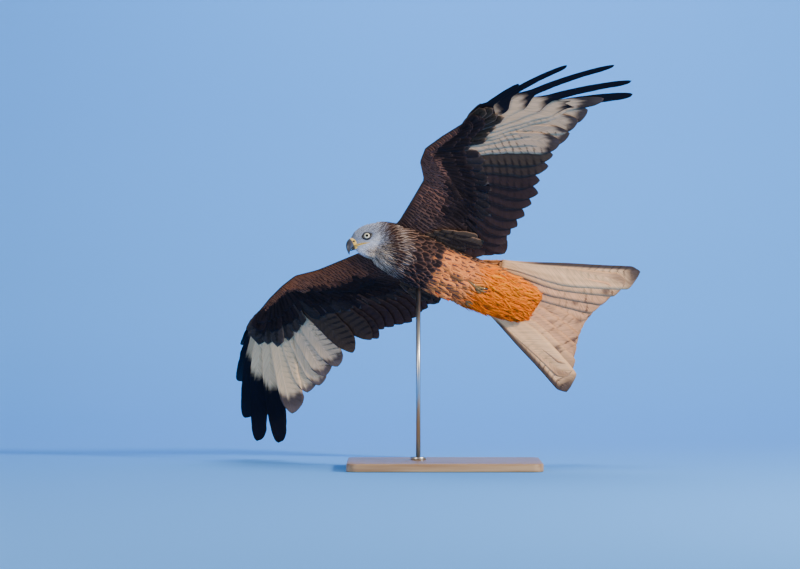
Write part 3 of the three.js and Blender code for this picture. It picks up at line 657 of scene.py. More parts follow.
# Colours of the lower and upper faces of the vanes: u across them from the inner web, v along them
def flightTones(sideName, primary, u, v):
    order = primary[:, None, None, None].astype(float)
    windowEnd = np.interp(order, np.arange(wingShape["primaries"]), flight["windowEnd"][sideName])
    windowEnd = windowEnd + 0.012 * np.sin(u * 13 + order * 5) - 0.05 * np.abs(u)
    # Painted light: the right wing's cream and tips are lighter copies of the left's
    cream = mix(flight["creamInner"][sideName], flight["cream"][sideName], smooth(0, 4, order))
    tip = mix(flight["brownTip"][sideName], flight["black"], smooth(4.4, 5, order))
    tip = tip * (1 - 0.35 * smooth(0.97, 0.9, v) * (order < flight["fingers"]))
    outerWeb = smooth(-0.05, 0.15, u) * smooth(6.2, 8, order)
    window = (1 - smooth(windowEnd - 0.035, windowEnd + 0.03, v)) * (1 - 0.85 * outerWeb)
    inGrey = smooth(-3.4, -1, order)
    arm = np.asarray(flight["secondary"]) * (1 - inGrey) + np.asarray(flight["grey"]) * inGrey
    arm = arm * (1 + 0.35 * smooth(0.85, 1, v) + 0.8 * smooth(0.55, 0.3, v) * (1 - inGrey))
    under = np.where(order >= 0, tip * (1 - window) + cream * window, arm)
    pale = 0.5 * window * (order >= 0)
    upper = np.asarray(flight["upper"]) * (1 - pale) + np.asarray(flight["upperGrey"]) * pale
    # Painted shade: the upper face is darker along its outer edge, where the feathers overlap; the inner web is
    # also made lighter
    upper = upper * (1 - 0.45 * smooth(0.55, 1, u)) * (1 + 0.25 * smooth(-0.2, -0.9, u))
    return upper, under


def flightBars(sideName, primary, u, v):
    order = primary[:, None, None, None].astype(float)
    dash = np.interp(u, [-1, -0.8, *flight["dashEnd"][sideName]], flight["dash"])
    onPrimary = np.interp(order, np.arange(6), flight["barOnPrimary"]) * dash * smooth(0.30, 0.42, v) \
        * (1 - smooth(0.90, 0.96, v))
    onArm = np.interp(order, [-5, -3, -1], flight["barOnArm"]) * smooth(0.30, 0.45, v) * (0.3 + 0.7 * dash) \
        * (1 - smooth(0.93, 0.97, v))
    return np.where(order >= 0, onPrimary, onArm)


# Joins what the upper and lower faces of vanes carry into one array, the lower face turned round
def bothFaces(upper, lower):
    upper, lower = np.broadcast_arrays(upper, lower)
    return np.concatenate([upper, lower[:, :, ::-1]], 2)


def flightFeathers(sideName):
    wing, columns = wings[sideName], flight["columns"]
    places, rank, primary = quillPlaces()
    count = len(places)
    root, handle, tip, length = quillEnds(wing, places)
    t = easedStations(flight["stations"])
    lines = onCurve(root, handle, tip, np.broadcast_to(mix(flight["rootAt"], 1, t), (count, len(t))))
    across, normals = framesOf(lines, [0, 0, 1], wing["side"], np.where(primary < 0, *flight["tilt"]))
    widths = np.select([rank < wingShape["tertials"], primary < 0, primary < flight["fingers"]],
                       flight["widths"], flight["fingerWidth"][sideName]).astype(float)
    halves = widths[:, None] / 2 * flightOutlines(sideName, primary, t)
    u = np.linspace(-1, 1, columns)[None, None, :, None]
    v = t[None, :, None, None]
    amount = flightBars(sideName, primary, u, v)
    pattern = np.zeros((count, 4))
    pattern[:, 1] = 0.5
    pattern[:, 2] = np.where(primary < 0, 0.03, 0.0)
    paint = {"tone": fourth(bothFaces(*flightTones(sideName, primary, u, v))), "mark": flight["bar"],
             "rim": flight["upperRim"], "pattern": pattern,
             "bars": barPaint(bothFaces(amount * 0.5, amount), length / flight["barStep"],
                              np.where(primary < 0, *flight["barWide"]))}
    lead = np.interp(rank, flight["leadAt"], flight["lead"])
    bake = np.stack([(rank + 0.5) / count, np.full(count, 0.5)], -1)
    mesh = vaneMesh(f"flight_{sideName}", lines, across, normals, halves, t, columns, flight["thick"],
                    flight["edge"], flight["camber"], lead, paint, bake, (0.8 / count, 0.96))
    return addObject(f"flight_feathers_{sideName}", mesh, [flightPaint])


# Bars of each vane: their strength, how many, how wide, and a seed
def barPaint(amount, number, wide):
    bars = np.zeros(amount.shape[:3] + (4,))
    bars[..., 0:1] = amount
    bars[..., 1] = number[:, None, None]
    bars[..., 2] = np.broadcast_to(wide, len(bars))[:, None, None]
    bars[..., 3] = rng.random(len(bars))[:, None, None]
    return bars


# Wing coverts, in rows over the arm: each starts at a distance behind the bones or the leading edge

coverts = {
    "stations": 9, "columns": 5, "thick": 0.5, "edge": 0.22, "camber": 0.22, "tilt": 5.5, "drift": 0.012,
    "outline": (0.5, 0.4, 0.78), "from": 0.12, "to": 2.98,
    "handWidth": {"left": 0.82, "right": 1.15},
    "handAt": [2.0, 2.2, 2.4, 2.6, 2.8, 3.0],
    "handReach": {"left": [1.0, 1.08, 1.22, 1.20, 0.95, 0.6], "right": [1.05, 1.18, 1.30, 1.30, 1.10, 0.65]},
    "handLift": (2.6, 4.4),                                  # at the middle and the tip, below
    "lesserFrom": 2.0, "lesserTo": 116, "lesserStep": (7.2, 12.15), "lesserGrown": 45,
    "lesserLength": (17, 30), "lesserWidth": (8.0, 12.5), "lesserSpacing": (6.4, 8.5),
    "lesserHeights": (-0.9, 0.9, 1.5), "lesserOnHand": 0.72, "lesserShift": 0.025,
    # start and end behind the bones, width, step, heights at root, middle and tip
    "greater": (24, 104, 29, 11.5, (-0.9, 3.9, 3.6)),
    "medians": [(8, 72, 23, 10, (-0.8, 3.4, 6.0)), (-6, 44, 19, 9, (-0.8, 1.8, 4.4))],
    "underBand": {"left": 44, "right": 36},
    # The underwing's rufous is painted lighter on the right than on the left: painted sunlight on the right,
    # painted shade on the left
    "underRufous": {"left": (0.135, 0.062, 0.044), "right": (0.25, 0.092, 0.048)},
    "underRufousMark": (0.012, 0.007, 0.009),
    "underBlack": (0.019, 0.012, 0.012), "underBlackRim": (0.030, 0.019, 0.020),
    "underGreater": (0.014, 0.010, 0.012), "underGreaterPale": (0.10, 0.075, 0.06),
    "underGreaterRim": (0.055, 0.038, 0.032), "underGreaterPaleRim": (0.085, 0.062, 0.052),
    "underInner": (0.075, 0.042, 0.034),
    # The primary coverts are painted lighter on the right than on the left: painted light and shade over one
    # plumage
    "primaryCovert": {"left": (0.030, 0.022, 0.016), "right": (0.050, 0.036, 0.030)},
    "primaryCovertRim": (0.14, 0.095, 0.065),
    "upperLesser": (0.13, 0.060, 0.036), "upperLesserMark": (0.025, 0.014, 0.012),
    "upperBand": (0.36, 0.215, 0.12), "upperBandRim": (0.5, 0.38, 0.26),
    "upperGreater": (0.050, 0.031, 0.025), "upperRim": (0.26, 0.15, 0.085),
    "upperPrimary": (0.024, 0.017, 0.017), "upperPrimaryRim": (0.10, 0.07, 0.055),
}


# Places along a wing at even steps of the bones' length, between two places
def stepPlaces(wing, first, last, step):
    fine = np.linspace(first, last, 400)
    bones = bonePlace(wing, fine)
    run = np.concatenate([[0], np.cumsum(np.linalg.norm(np.diff(bones, axis=0), axis=1))])
    count = max(int(run[-1] / step), 2)
    return np.interp((np.arange(count) + 0.5) / count * run[-1], run, fine)


def joinSets(sets):
    return {key: np.concatenate([one[key] for one in sets]) for key in sets[0]}


# One row: start and end distances, heights at root, middle and tip, widths, and the paint of each feather
def covertRow(wing, face, places, start, end, heights, width, paint, stagger=0.0):
    count = len(places)
    places = places + stagger
    start, end = np.broadcast_to(start, count), np.broadcast_to(end, count)
    jitter = rng.normal(0, 1, (count, 4))
    end = end + (end - start) * 0.06 * jitter[:, 0]
    share = np.linspace(0, 1, coverts["stations"])
    distance = start[:, None] + (end - start)[:, None] * share
    low, middle, high = heights
    rise = low * (1 - share) * (1 - 2 * share) + 4 * middle * share * (1 - share)
    rise = rise + high * share * (2 * share - 1)
    drift = (coverts["drift"] * jitter[:, 1])[:, None] * share
    lines = wingPoint(wing, places[:, None] + drift, distance, rise + 0.35 * jitter[:, 2:3] * share, face)
    tilt = coverts["tilt"] * face + 4 * jitter[:, 3]
    across, normals = framesOf(lines, [0, 0, face], wing["side"] * face, tilt)
    halves = np.broadcast_to(width, count)[:, None] / 2 * roundOutline(share, *coverts["outline"])[None, :]
    made = {"lines": lines, "across": across, "normals": normals, "halves": halves}
    for key, value in paint.items():
        made[key] = np.broadcast_to(np.asarray(value, float), (count, np.shape(value)[-1]))
    made["bars"] = np.zeros((count, 4))
    made["bars"][:, 3] = rng.random(count)
    return made


def fourth(colour, last=1.0):
    colour = np.asarray(colour, float)
    return np.concatenate([colour, np.full(colour.shape[:-1] + (1,), last)], -1)


# Sizes of each feather's marks: width of the streak, its end along the vane, and width of the rim
def markSizes(count, streak, end, edge):
    return np.stack([np.broadcast_to(value, count) for value in (streak, end, edge, 0.0)], -1)


# Lesser coverts, row after row back from the leading edge
def lesserCoverts(sideName, face):
    wing, sets, row, behindEdge = wings[sideName], [], 0, coverts["lesserFrom"]
    band, rufous = coverts["underBand"][sideName], coverts["underRufous"][sideName]
    while behindEdge < coverts["lesserTo"]:
        size = smooth(0, coverts["lesserGrown"], behindEdge)
        keys = ("lesserLength", "lesserWidth", "lesserSpacing")
        length, width, spacing = (mix(*coverts[key], size) for key in keys)
        places = stepPlaces(wing, 0.0, coverts["to"], spacing)
        start = behindEdge - alongList(wing["patagium"], places / 3)
        keep = start < np.where(places > 2, 14, 6)
        places, start, count = places[keep], start[keep], keep.sum()
        if count:
            squeeze = np.where(places > 2.02, coverts["lesserOnHand"], 1.0)
            black = smooth(band - 7, band + 5, behindEdge + 5 * rng.normal(0, 1, count))
            black = np.maximum(black, smooth(1.7, 1.98, places) * smooth(3, 14, behindEdge))
            black = black * smooth(0.25, 0.6, places)
            if face < 0:
                # The rufous here is lighter on the right wing than on the left: painted sunlight and painted
                # shade
                plain = mix(rufous, coverts["underInner"], smooth(0.75, 0.25, places))
                tone = mix(plain, coverts["underBlack"], black)
                rim = mix(plain, coverts["underBlackRim"], black)
                mark = mix(coverts["underRufousMark"], coverts["underBlack"], black)
                pattern = markSizes(count, mix(0.25, 0.1, black), 1.0, mix(0.1, 0.12, black))
            else:
                pale = smooth(38, 62, behindEdge) * (1 - smooth(1.7, 1.95, places)) * smooth(0.1, 0.4, places)
                tone = mix(coverts["upperLesser"], coverts["upperBand"], pale)
                rim = mix(coverts["upperRim"], coverts["upperBandRim"], pale)
                mark = coverts["upperLesserMark"]
                pattern = markSizes(count, mix(0.5, 0.25, pale), 0.95, 0.16)
            tone = tone * rng.uniform(0.8, 1.2, (count, 1))
            paint = {"tone": fourth(tone), "mark": mark, "rim": rim, "pattern": pattern}
            sets.append(covertRow(wing, face, places, start, start + length * squeeze, coverts["lesserHeights"],
                                  width * squeeze, paint, coverts["lesserShift"] * (row % 2)))
        row += 1
        behindEdge += mix(*coverts["lesserStep"], size)
    return sets


# Median and greater coverts over the roots of the quills
def largeCoverts(sideName, face):
    wing, sets = wings[sideName], []
    for start, reach, width, step, heights in [coverts["greater"], *coverts["medians"]]:
        greater = start == coverts["greater"][0]
        places = stepPlaces(wing, coverts["from"], coverts["to"], step)
        count = len(places)
        hand = smooth(1.95, 2.15, places)
        end = reach * mix(1.0, np.interp(places, coverts["handAt"], coverts["handReach"][sideName]), hand)
        black = smooth(0.3, 0.7, places)
        if face < 0 and greater:
            tone = mix(coverts["underGreater"], coverts["underGreaterPale"], 0.22 * rng.random(count))
            # The primary coverts' tone carries the painted light of each side: lighter right, darker left
            tone = mix(tone, coverts["primaryCovert"][sideName], hand)
            pale = (rng.random(count) < 0.3) * (1 - hand)
            rim = mix(coverts["underGreaterRim"], coverts["underGreaterPaleRim"], pale)
            rim = mix(rim, coverts["primaryCovertRim"], hand * (1 - 0.8 * smooth(2.5, 2.75, places)))
            mark, streak, edge = tone * 0.5, 0.3 * hand, mix(0.08 + 0.1 * pale, 0.14, hand)
        elif face < 0:
            tone = mix(coverts["underInner"], coverts["underBlack"], black)
            rim = mix(coverts["underInner"], coverts["underBlackRim"], black)
            mark, streak, edge = tone * 0.5, 0.2, 0.12
        else:
            tone = mix(mix(coverts["upperGreater"], coverts["upperPrimary"], hand), coverts["upperBand"],
                       (0.15 if greater else 0.75) * (1 - smooth(1.75, 2.0, places)))
            rim = mix(coverts["upperRim"], coverts["upperPrimaryRim"], hand)
            mark, streak, edge = coverts["upperLesserMark"], 0.3, 0.14
        tone = tone * rng.uniform(0.85, 1.15, (count, 1))
        if face < 0:
            lifts = zip(heights[1:], coverts["handLift"])
            heights = (heights[0], *(level + lift * hand[:, None] for level, lift in lifts))
        sets.append(covertRow(wing, face, places, np.where(places > 2, start * 0.5, start), end, heights,
                              width * mix(1.0, coverts["handWidth"][sideName], hand),
                              {"tone": fourth(tone), "mark": mark, "rim": rim,
                               "pattern": markSizes(count, streak, 0.9, edge)}))
    return sets


def wingCoverts(sideName):
    for face, label in ((-1, "under"), (1, "upper")):
        made = joinSets(lesserCoverts(sideName, face) + largeCoverts(sideName, face))
        root = made["lines"][:, 0]
        bake = np.stack([0.05 + (root[:, 0] + 320) / 700 * 0.9, 0.05 + np.abs(root[:, 1]) / 480 * 0.9], -1)
        paint = {key: made[key] for key in ("tone", "mark", "rim", "pattern", "bars")}
        mesh = vaneMesh("coverts", *(made[key] for key in ("lines", "across", "normals", "halves")),
                        np.linspace(0, 1, coverts["stations"]), coverts["columns"], coverts["thick"],
                        coverts["edge"], coverts["camber"], 0.5, paint, bake)
        addObject(f"{label}wing_coverts_{sideName}", mesh, [contourPaint])
        print(f"{label}wing coverts {sideName}", len(root))


# Tail: x back from its root is negative, y to the left, z up, in its own rolled frame

tailShape = {
    "root": (-104, 9, 21), "pitch": 4.2, "roll": 18.5, "yaw": -1.0,
    "halfSpread": 19.6, "rootHalf": 44, "outer": 352, "central": 284, "aSide": 6, "width": 58, "sweep": 2.2,
    "top": 5, "layer": 0.42, "bow": 0.022, "sag": 0.012, "stations": 44, "columns": 11, "thick": 0.8,
    "edge": 0.3, "camber": 0.03, "rootAt": 0.1, "lead": 0.34, "outerLead": 0.24, "outline": (0.35, 0.55, 0.9),
    "under": (0.84, 0.40, 0.185), "underPale": (0.90, 0.50, 0.235), "corner": (0.050, 0.038, 0.036),
    "bar": (0.045, 0.030, 0.026), "barStep": 18, "barWide": 0.5,
    "upper": (0.40, 0.125, 0.035), "upperMark": (0.06, 0.03, 0.02),
}


def tailTurn(points):
    turn = Matrix.Rotation(math.radians(-tailShape["yaw"]), 3, "Z") \
        @ Matrix.Rotation(math.radians(tailShape["pitch"]), 3, "Y") \
        @ Matrix.Rotation(math.radians(tailShape["roll"]), 3, "X")
    return np.asarray(points) @ np.array(turn).T


def tailPlace(points):
    return tailTurn(points) + np.asarray(tailShape["root"], float)


# Root, handle and tip of tail feathers: share 0 the middle, 1 the outermost
def tailEnds(share, side, start, reach, level):
    share, side, level = (np.asarray(value, float) for value in (share, side, level))
    turn = np.radians(tailShape["halfSpread"]) * share * side
    length = mix(tailShape["central"], tailShape["outer"], share ** tailShape["sweep"]) * reach
    aside = tailShape["rootHalf"] * share * side
    root = np.stack([-start * np.cos(turn), aside + start * np.sin(turn), level], -1)
    tip = np.stack([-length * np.cos(turn), aside + length * np.sin(turn), level], -1)
    ahead = tip - root
    span = np.linalg.norm(ahead, axis=-1)
    across = unit(np.cross(ahead, [0, 0, 1])) * side[:, None]
    handle = (root + tip) / 2 - across * (2 * tailShape["bow"] * share * span)[:, None]
    handle[:, 2] += 2 * tailShape["sag"] * span
    return root, handle, tip, span


# Colours of the tail's vanes, upper and lower face: share 1 is the outermost, u across, v along
def tailTones(share, side, u, v):
    # Painted shade: each feather is darker along its inner edge, where the next one lies over it
    inner = 1 - 0.24 * (1 - smooth(-1.0, -0.72, u)) * (share < 0.95)
    veins = 1 + 0.12 * np.sin(u * 11 + share * 23 + side) + 0.08 * np.sin(v * 9 + u * 5 + share * 31)
    under = mix(tailShape["under"], tailShape["underPale"], smooth(0.6, 1, share))
    under = under * inner * veins * (1 - 0.22 * smooth(0.78, 1, v))
    edge = smooth(0.1, 0.5, u) * smooth(0.85, 1, share) * smooth(0.05, 0.3, v) * 0.96
    corner = smooth(0.86, 0.955, v + 0.04 * u) * smooth(0.7, 0.98, share) * 0.92
    blot = np.sin(v * 23 + share * 29 + side * 2) * (0.6 + 0.4 * np.sin(u * 3 + share * 19))
    blot = smooth(0.55, 0.85, blot) * smooth(0.5, 0.8, v) * (1 - smooth(-0.5, 0.1, u)) * 0.75
    dark = np.maximum(np.maximum(edge, corner), blot)
    under = under * (1 - dark) + np.asarray(tailShape["corner"]) * dark
    # The upper face is darker along its outer edge as painted shade where the feathers overlap
    upper = tailShape["upper"] * (1 - 0.7 * corner) * (1 - 0.45 * smooth(0.5, 1, u))
    return upper * (1 + 0.2 * smooth(0.6, 0.2, np.abs(u))), under


def tailFeathers():
    aSide, columns = tailShape["aSide"], tailShape["columns"]
    rank = np.tile(np.arange(aSide), 2)
    count = len(rank)
    side = np.repeat([1.0, -1.0], aSide)
    share = (rank + 0.5) / (aSide - 0.5)
    level = tailShape["top"] - tailShape["layer"] * (2 * rank + (side < 0))
    root, handle, tip, length = tailEnds(share, side, 0, 1, level)
    t = easedStations(tailShape["stations"])
    lines = onCurve(root, handle, tip, np.broadcast_to(mix(tailShape["rootAt"], 1, t), (count, len(t))))
    across, normals = framesOf(lines, [0, 0, 1])
    halves = tailShape["width"] / 2 * roundOutline(t, *tailShape["outline"])[None, :]
    halves = halves * (1 - 0.45 * smooth(0.93, 1, t)[None, :] * share[:, None])
    halves = halves * (1 + 0.006 * np.sin(t[None, :] * 50 + rank[:, None] * 2))
    u = np.linspace(-1, 1, columns)[None, None, :, None]
    v = t[None, :, None, None]
    rankOf, shareOf, sideOf = (value[:, None, None, None] for value in (rank, share, side))
    broken = 0.5 + 0.5 * np.sin(v * 31 + rankOf * 2.4 + sideOf)
    near = np.interp(u, [-1, -0.8, -0.5, -0.2], [0.3, 1.0, 0.5, 0.0])
    amount = mix(near * broken ** 2, smooth(-0.75, 0.05, u) * (0.5 + 0.5 * broken), smooth(0.85, 1, shareOf))
    grown = smooth(0.30, 0.9, v)
    lower = np.broadcast_to(tailShape["bar"], (count, len(t), columns, 3))
    mark = bothFaces(np.broadcast_to(tailShape["upperMark"], lower.shape), lower)
    paint = {"tone": fourth(bothFaces(*tailTones(shareOf, sideOf, u, v))), "mark": mark, "rim": mark,
             "bars": barPaint(bothFaces(0.6 * grown * broken, grown * amount), length / tailShape["barStep"],
                              tailShape["barWide"]),
             "pattern": (0, 0.5, 0, 0)}
    lead = np.where(rank == aSide - 1, tailShape["outerLead"], tailShape["lead"])
    bake = np.stack([(np.arange(count) + 0.5) / count, np.full(count, 0.5)], -1)
    mesh = vaneMesh("tail", tailPlace(lines), tailTurn(across * side[:, None, None]), tailTurn(normals), halves,
                    t, columns, tailShape["thick"], tailShape["edge"], tailShape["camber"], lead, paint, bake,
                    (0.8 / count, 0.96))
    return addObject("tail_feathers", mesh, [flightPaint], ["tail"])


# Body, neck and head

bodySections = [
    {"at": -256, "side": 2, "level": 19, "half": 34, "up": 2, "down": 7, "roll": 18},
    {"at": -232, "side": 2, "level": 15, "half": 48, "up": 3, "down": 15, "roll": 18},
    {"at": -190, "side": 3, "level": 10, "half": 55, "up": 4, "down": 27, "roll": 18},
    {"at": -150, "side": 4, "level": 6, "half": 59, "up": 8, "down": 36, "roll": 16},
    {"at": -112, "side": 3, "level": 1, "half": 60, "up": 30, "down": 40, "roll": 12},
    {"at": -60, "side": 1, "level": 0, "half": 58, "up": 44, "down": 47, "roll": 5},
    {"at": 5, "side": 0, "level": -3, "half": 60, "up": 50, "down": 54, "roll": 0},
    {"at": 60, "side": 0, "level": -5, "half": 61, "up": 51, "down": 58, "roll": 0},
    {"at": 98, "side": -2, "level": -3, "half": 56, "up": 50, "down": 55, "roll": 0},
    {"at": 126, "side": -6, "level": 2, "half": 47, "up": 44, "down": 48, "roll": 0},
    {"at": 140, "side": -8, "level": 4, "half": 30, "up": 28, "down": 30, "roll": 0},
]
headCentre = np.array([158, -14, 0], float)
headForward = unit([0.843, -0.359, -0.396])
headUp = np.array([0.5245, 0.398, 0.753])
headUp = unit(headUp - headForward * headUp.dot(headForward))
headLeft = np.cross(headUp, headForward)
headAxes = np.array([headForward, headLeft, headUp])
headSections = [
    {"at": -52, "half": 14, "top": 22, "bottom": 26},
    {"at": -44, "half": 27, "top": 32, "bottom": 49},
    {"at": -28, "half": 28, "top": 33.5, "bottom": 54},
    {"at": -12, "half": 27, "top": 34, "bottom": 53},
    {"at": 2, "half": 22.4, "top": 32.5, "bottom": 45},
    {"at": 14, "half": 18.6, "top": 29, "bottom": 38},
    {"at": 25, "half": 14.5, "top": 23, "bottom": 29},
    {"at": 33, "half": 11, "top": 16.5, "bottom": 20},
    {"at": 38, "half": 7, "top": 9.5, "bottom": 13},
]
coatDepth = {"body": 3.0, "head": 1.6, "neck": 3.0}


def fromHead(points):
    return np.asarray(points, float) @ headAxes + headCentre


def toHead(points):
    return (np.asarray(points, float) - headCentre) @ headAxes.T


# Smooth curve through points spaced evenly along the last axis but one
def throughPoints(points, shares):
    points = np.asarray(points, float)
    last = points.shape[-2] - 1
    place = np.clip(np.asarray(shares, float), 0, 1) * last
    index = np.minimum(place.astype(int), last - 1)
    share = (place - index)[:, None]
    padded = np.concatenate([2 * points[..., :1, :] - points[..., 1:2, :], points,
                             2 * points[..., -1:, :] - points[..., -2:-1, :]], -2)
    first, second, third, final = (padded[..., index + step, :] for step in range(4))
    bend = 2 * first - 5 * second + 4 * third - final
    twist = 3 * second - first - 3 * third + final
    return 0.5 * (2 * second + (third - first) * share + bend * share ** 2 + twist * share ** 3)


def limbRings(path, radii, around, steps, knuckles=0, depth=0.0):
    shares = np.linspace(0, 1, steps)
    points = throughPoints(path, shares)
    ahead = unit(np.gradient(points, axis=0))
    across = unit(np.array([0, 1, 0]) - ahead * ahead[:, 1:2])
    up = np.cross(ahead, across)
    sizes = alongList(radii, shares) * (1 + depth * np.cos(shares * knuckles * 2 * math.pi))
    return [ellipseRing(point, sideways, upwards, size, size, size * 1.05, around)
            for point, sideways, upwards, size in zip(points, across, up, sizes)]


# Feet, tucked back under the vent

feet = {
    "heel": (-62, 28, -30), "ankle": (-94, 21, -34.0),
    "thigh": [(0, 32, -26), (-31, 32, -32), (-62, 31, -37)], "thighRadius": [8, 15, 12, 6],
    "shankRadius": [5.5, 4.2, 4.8],
    # spread, drop and length
    "toes": [(-9, 0, 23), (-2, 3, 26), (6, 1, 23), (1, -8, 15)], "toeRadius": 3.2,
    "clawLength": 15, "clawRadius": [2.3, 1.9, 1.2, 0.15],
    # The foot's yellow is a much darker copy of the cere's yellow: painted shade where the foot is tucked under
    # the vent
    "yellow": (0.20, 0.105, 0.018), "claw": (0.012, 0.011, 0.013),
}


# The neck's middle line, and its half width and heights at both ends; the last point is in the head's frame
neckPath = {"start": (84, -2, -3), "bend": (124, -5, 3), "end": (-20, 0, 1),
            "half": (56, 26.5), "up": (50, 33), "down": (54, 40)}
brow = {"path": [(-3, 15.6, 9.8), (3, 16.0, 11.4), (9, 15.6, 12.0), (15, 14.2, 11.4), (20, 12.4, 9.8)],
        "radius": [0.4, 2.2, 2.7, 2.2, 0.4]}


def fleshSkin():
    shape = bmesh.new()
    rings = []
    for place in np.linspace(bodySections[0]["at"], bodySections[-1]["at"], 46):
        value = sectionAt(bodySections, place, coatDepth["body"])
        roll = math.radians(value["roll"])
        across, upwards = [0, math.cos(roll), math.sin(roll)], [0, -math.sin(roll), math.cos(roll)]
        rings.append(ellipseRing((place, value["side"], value["level"]), across, upwards,
                                 max(value["half"], 2), max(value["up"], 1), max(value["down"], 1), 40))
    loft(shape, rings)
    rings = []
    start, bend, end = np.array(neckPath["start"]), np.array(neckPath["bend"]), fromHead(neckPath["end"])
    for share in np.linspace(0, 1, 14):
        centre = (1 - share) ** 2 * start + 2 * share * (1 - share) * bend + share ** 2 * end
        across = unit(mix([0, 1, 0], headLeft, share))
        upwards = unit(mix([0, 0, 1], headUp, share))
        bulge = math.sin(math.pi * share) * 1.5 - coatDepth["neck"]
        half, above, below = (mix(*neckPath[key], share) + bulge for key in ("half", "up", "down"))
        rings.append(ellipseRing(centre, across, upwards, half, above + 11 * math.sin(math.pi * share ** 0.6),
                                 below + 7 * math.sin(math.pi * share), 40))
    loft(shape, rings)
    rings = []
    for place in np.linspace(headSections[0]["at"], headSections[-1]["at"], 28):
        value = sectionAt(headSections, place, coatDepth["head"])
        rings.append(fromHead(ellipseRing((place, 0, 0), [0, 1, 0], [0, 0, 1], value["half"], value["top"],
                                          value["bottom"], 36)))
    loft(shape, rings)
    for side in (1, -1):
        flip = np.array([1, side, 1])
        loft(shape, limbRings(fromHead(brow["path"] * flip), brow["radius"], 16, 14))
        loft(shape, limbRings(np.array(feet["thigh"]) * flip, feet["thighRadius"], 20, 16))
    made = link("skinForm", finishShape(shape, "skin"))
    remesh = made.modifiers.new("join", "REMESH")
    remesh.mode, remesh.voxel_size, remesh.use_smooth_shade = "VOXEL", 0.0022, True
    soften = made.modifiers.new("soften", "SMOOTH")
    soften.iterations, soften.factor = 6, 0.5
    joined = bpy.data.meshes.new_from_object(made.evaluated_get(bpy.context.evaluated_depsgraph_get()))
    bpy.data.objects.remove(made)
    return joined


def toBird(points):
    return (np.asarray(points, float) * 1000 - birdCentre) @ birdAxes.T


skinMesh = fleshSkin()
skinPoints = toBird(readPoints(skinMesh))
skinMesh.calc_loop_triangles()
skinCorners = np.empty(len(skinMesh.loop_triangles) * 3, np.int32)
skinMesh.loop_triangles.foreach_get("vertices", skinCorners)
skinCorners = skinCorners.reshape(-1, 3)
skinTree = BVHTree.FromPolygons([Vector(point) for point in skinPoints], skinCorners.tolist())
print("skin", len(skinCorners))


# Nearest places on the skin to points of the bird's frame, and the skin's directions there
def onSkin(points):
    flat = np.asarray(points, float).reshape(-1, 3)
    found = [skinTree.find_nearest(Vector(point)) for point in flat]
    spots = np.array([one[0] for one in found])
    out = np.array([one[1] for one in found])
    return spots.reshape(np.shape(points)), out.reshape(np.shape(points))


# Body feathers. Lengths run along the body from the vent to the neck, and on the head out from the bill

coat = {
    "bodyAt": [-256, -200, -120, -60, 0, 60, 120],
    "underLength": [36, 42, 42, 35, 31, 29, 24],
    "upperLength": [30, 34, 36, 33, 31, 28, 22],
    "headReach": [0, 10, 20, 34, 50, 70, 90],
    "headLength": [3.4, 4.4, 6.2, 9.0, 12.0, 16.0, 19.0], "lidLength": 2.2,
    "billBase": (34, 0, -6),
    "headSpace": 0.25, "bodySpace": 0.31, "ventSpace": 0.125,
    "bodyWide": 0.46, "ventWide": 0.15, "headWide": 0.30, "throatWide": 0.26,
    # The skin between the feathers is painted in the coat's colours darkened by a share given here, as painted
    # shade
    "candidates": 42000, "turn": 6, "lengthSpread": 0.12, "tilt": 5, "paintedGapShade": 0.6,
    "lift": 1.0, "liftShare": 0.062, "rootDepth": 0.7, "thickShare": 0.018, "thick": (0.12, 0.5), "edge": 0.12,
    "camber": 0.25, "rounded": (0.5, 0.35, 0.6), "pointed": (0.55, 2.2, 0.03),
    # places left bare: the wing's root, the tail's root from below, and the bill
    "wingRoot": {"from": -45, "to": 116, "low": 8, "high": 36, "aside": 36}, "tailRoot": -118, "billRoot": 30.5,
    # The breast colours are darkened as painted shade under the left wing and the belly colours brightened as
    # painted sunlight, both over the real plumage
    "breast": (0.064, 0.034, 0.028), "breastRim": (0.150, 0.070, 0.048), "breastMark": (0.018, 0.011, 0.0115),
    "belly": (0.76, 0.225, 0.060), "sunlitBellyRim": (0.84, 0.29, 0.085), "sunlitBellyMark": (0.11, 0.055, 0.045),
    # The vent's darker and paler streak tones are painted shade on its right side and painted sunlight on its
    # left, over its own orange
    "vent": (0.84, 0.165, 0.002), "ventShadedStreak": (0.50, 0.080, 0.001), "ventSunlitStreak": (1.0, 0.31, 0.014),
    "neck": (0.21, 0.12, 0.088), "neckRim": (0.34, 0.20, 0.14), "neckMark": (0.026, 0.016, 0.015),
    "neckFront": (0.42, 0.30, 0.225), "neckFrontRim": (0.60, 0.49, 0.42),
    "neckFrontMark": (0.10, 0.072, 0.06),
    "throat": (0.66, 0.50, 0.36), "throatRim": (0.84, 0.69, 0.53), "throatMark": (0.070, 0.048, 0.036),
    "head": (0.31, 0.37, 0.50), "headPale": (0.80, 0.82, 0.90), "headMark": (0.070, 0.072, 0.10),
    "headRim": (0.50, 0.53, 0.62), "nape": (0.26, 0.22, 0.22),
    "streaksAround": 19, "streakTone": (0.040, 0.030, 0.027),
    "mantle": (0.075, 0.043, 0.032), "mantleRim": (0.23, 0.12, 0.07), "mantleMark": (0.018, 0.012, 0.011),
    "rump": (0.34, 0.125, 0.045), "rumpRim": (0.50, 0.23, 0.10),
}
eyes = {
    "centre": (6, 13.6, 3.2), "radius": 9.3, "gaze": (0.28, 0.95, 0.05),
    "iris": 6.3, "pupil": 3.1, "cornea": 0.7, "lidIn": 6.0, "lidOut": 9.3, "corner": 3.3,
    "irisTone": (0.80, 0.78, 0.62), "irisOuter": (0.62, 0.58, 0.40), "irisInner": (0.30, 0.24, 0.12),
    "irisEdge": (0.02, 0.016, 0.014), "pupilTone": (0.004, 0.004, 0.004), "lidTone": (0.014, 0.012, 0.013),
}


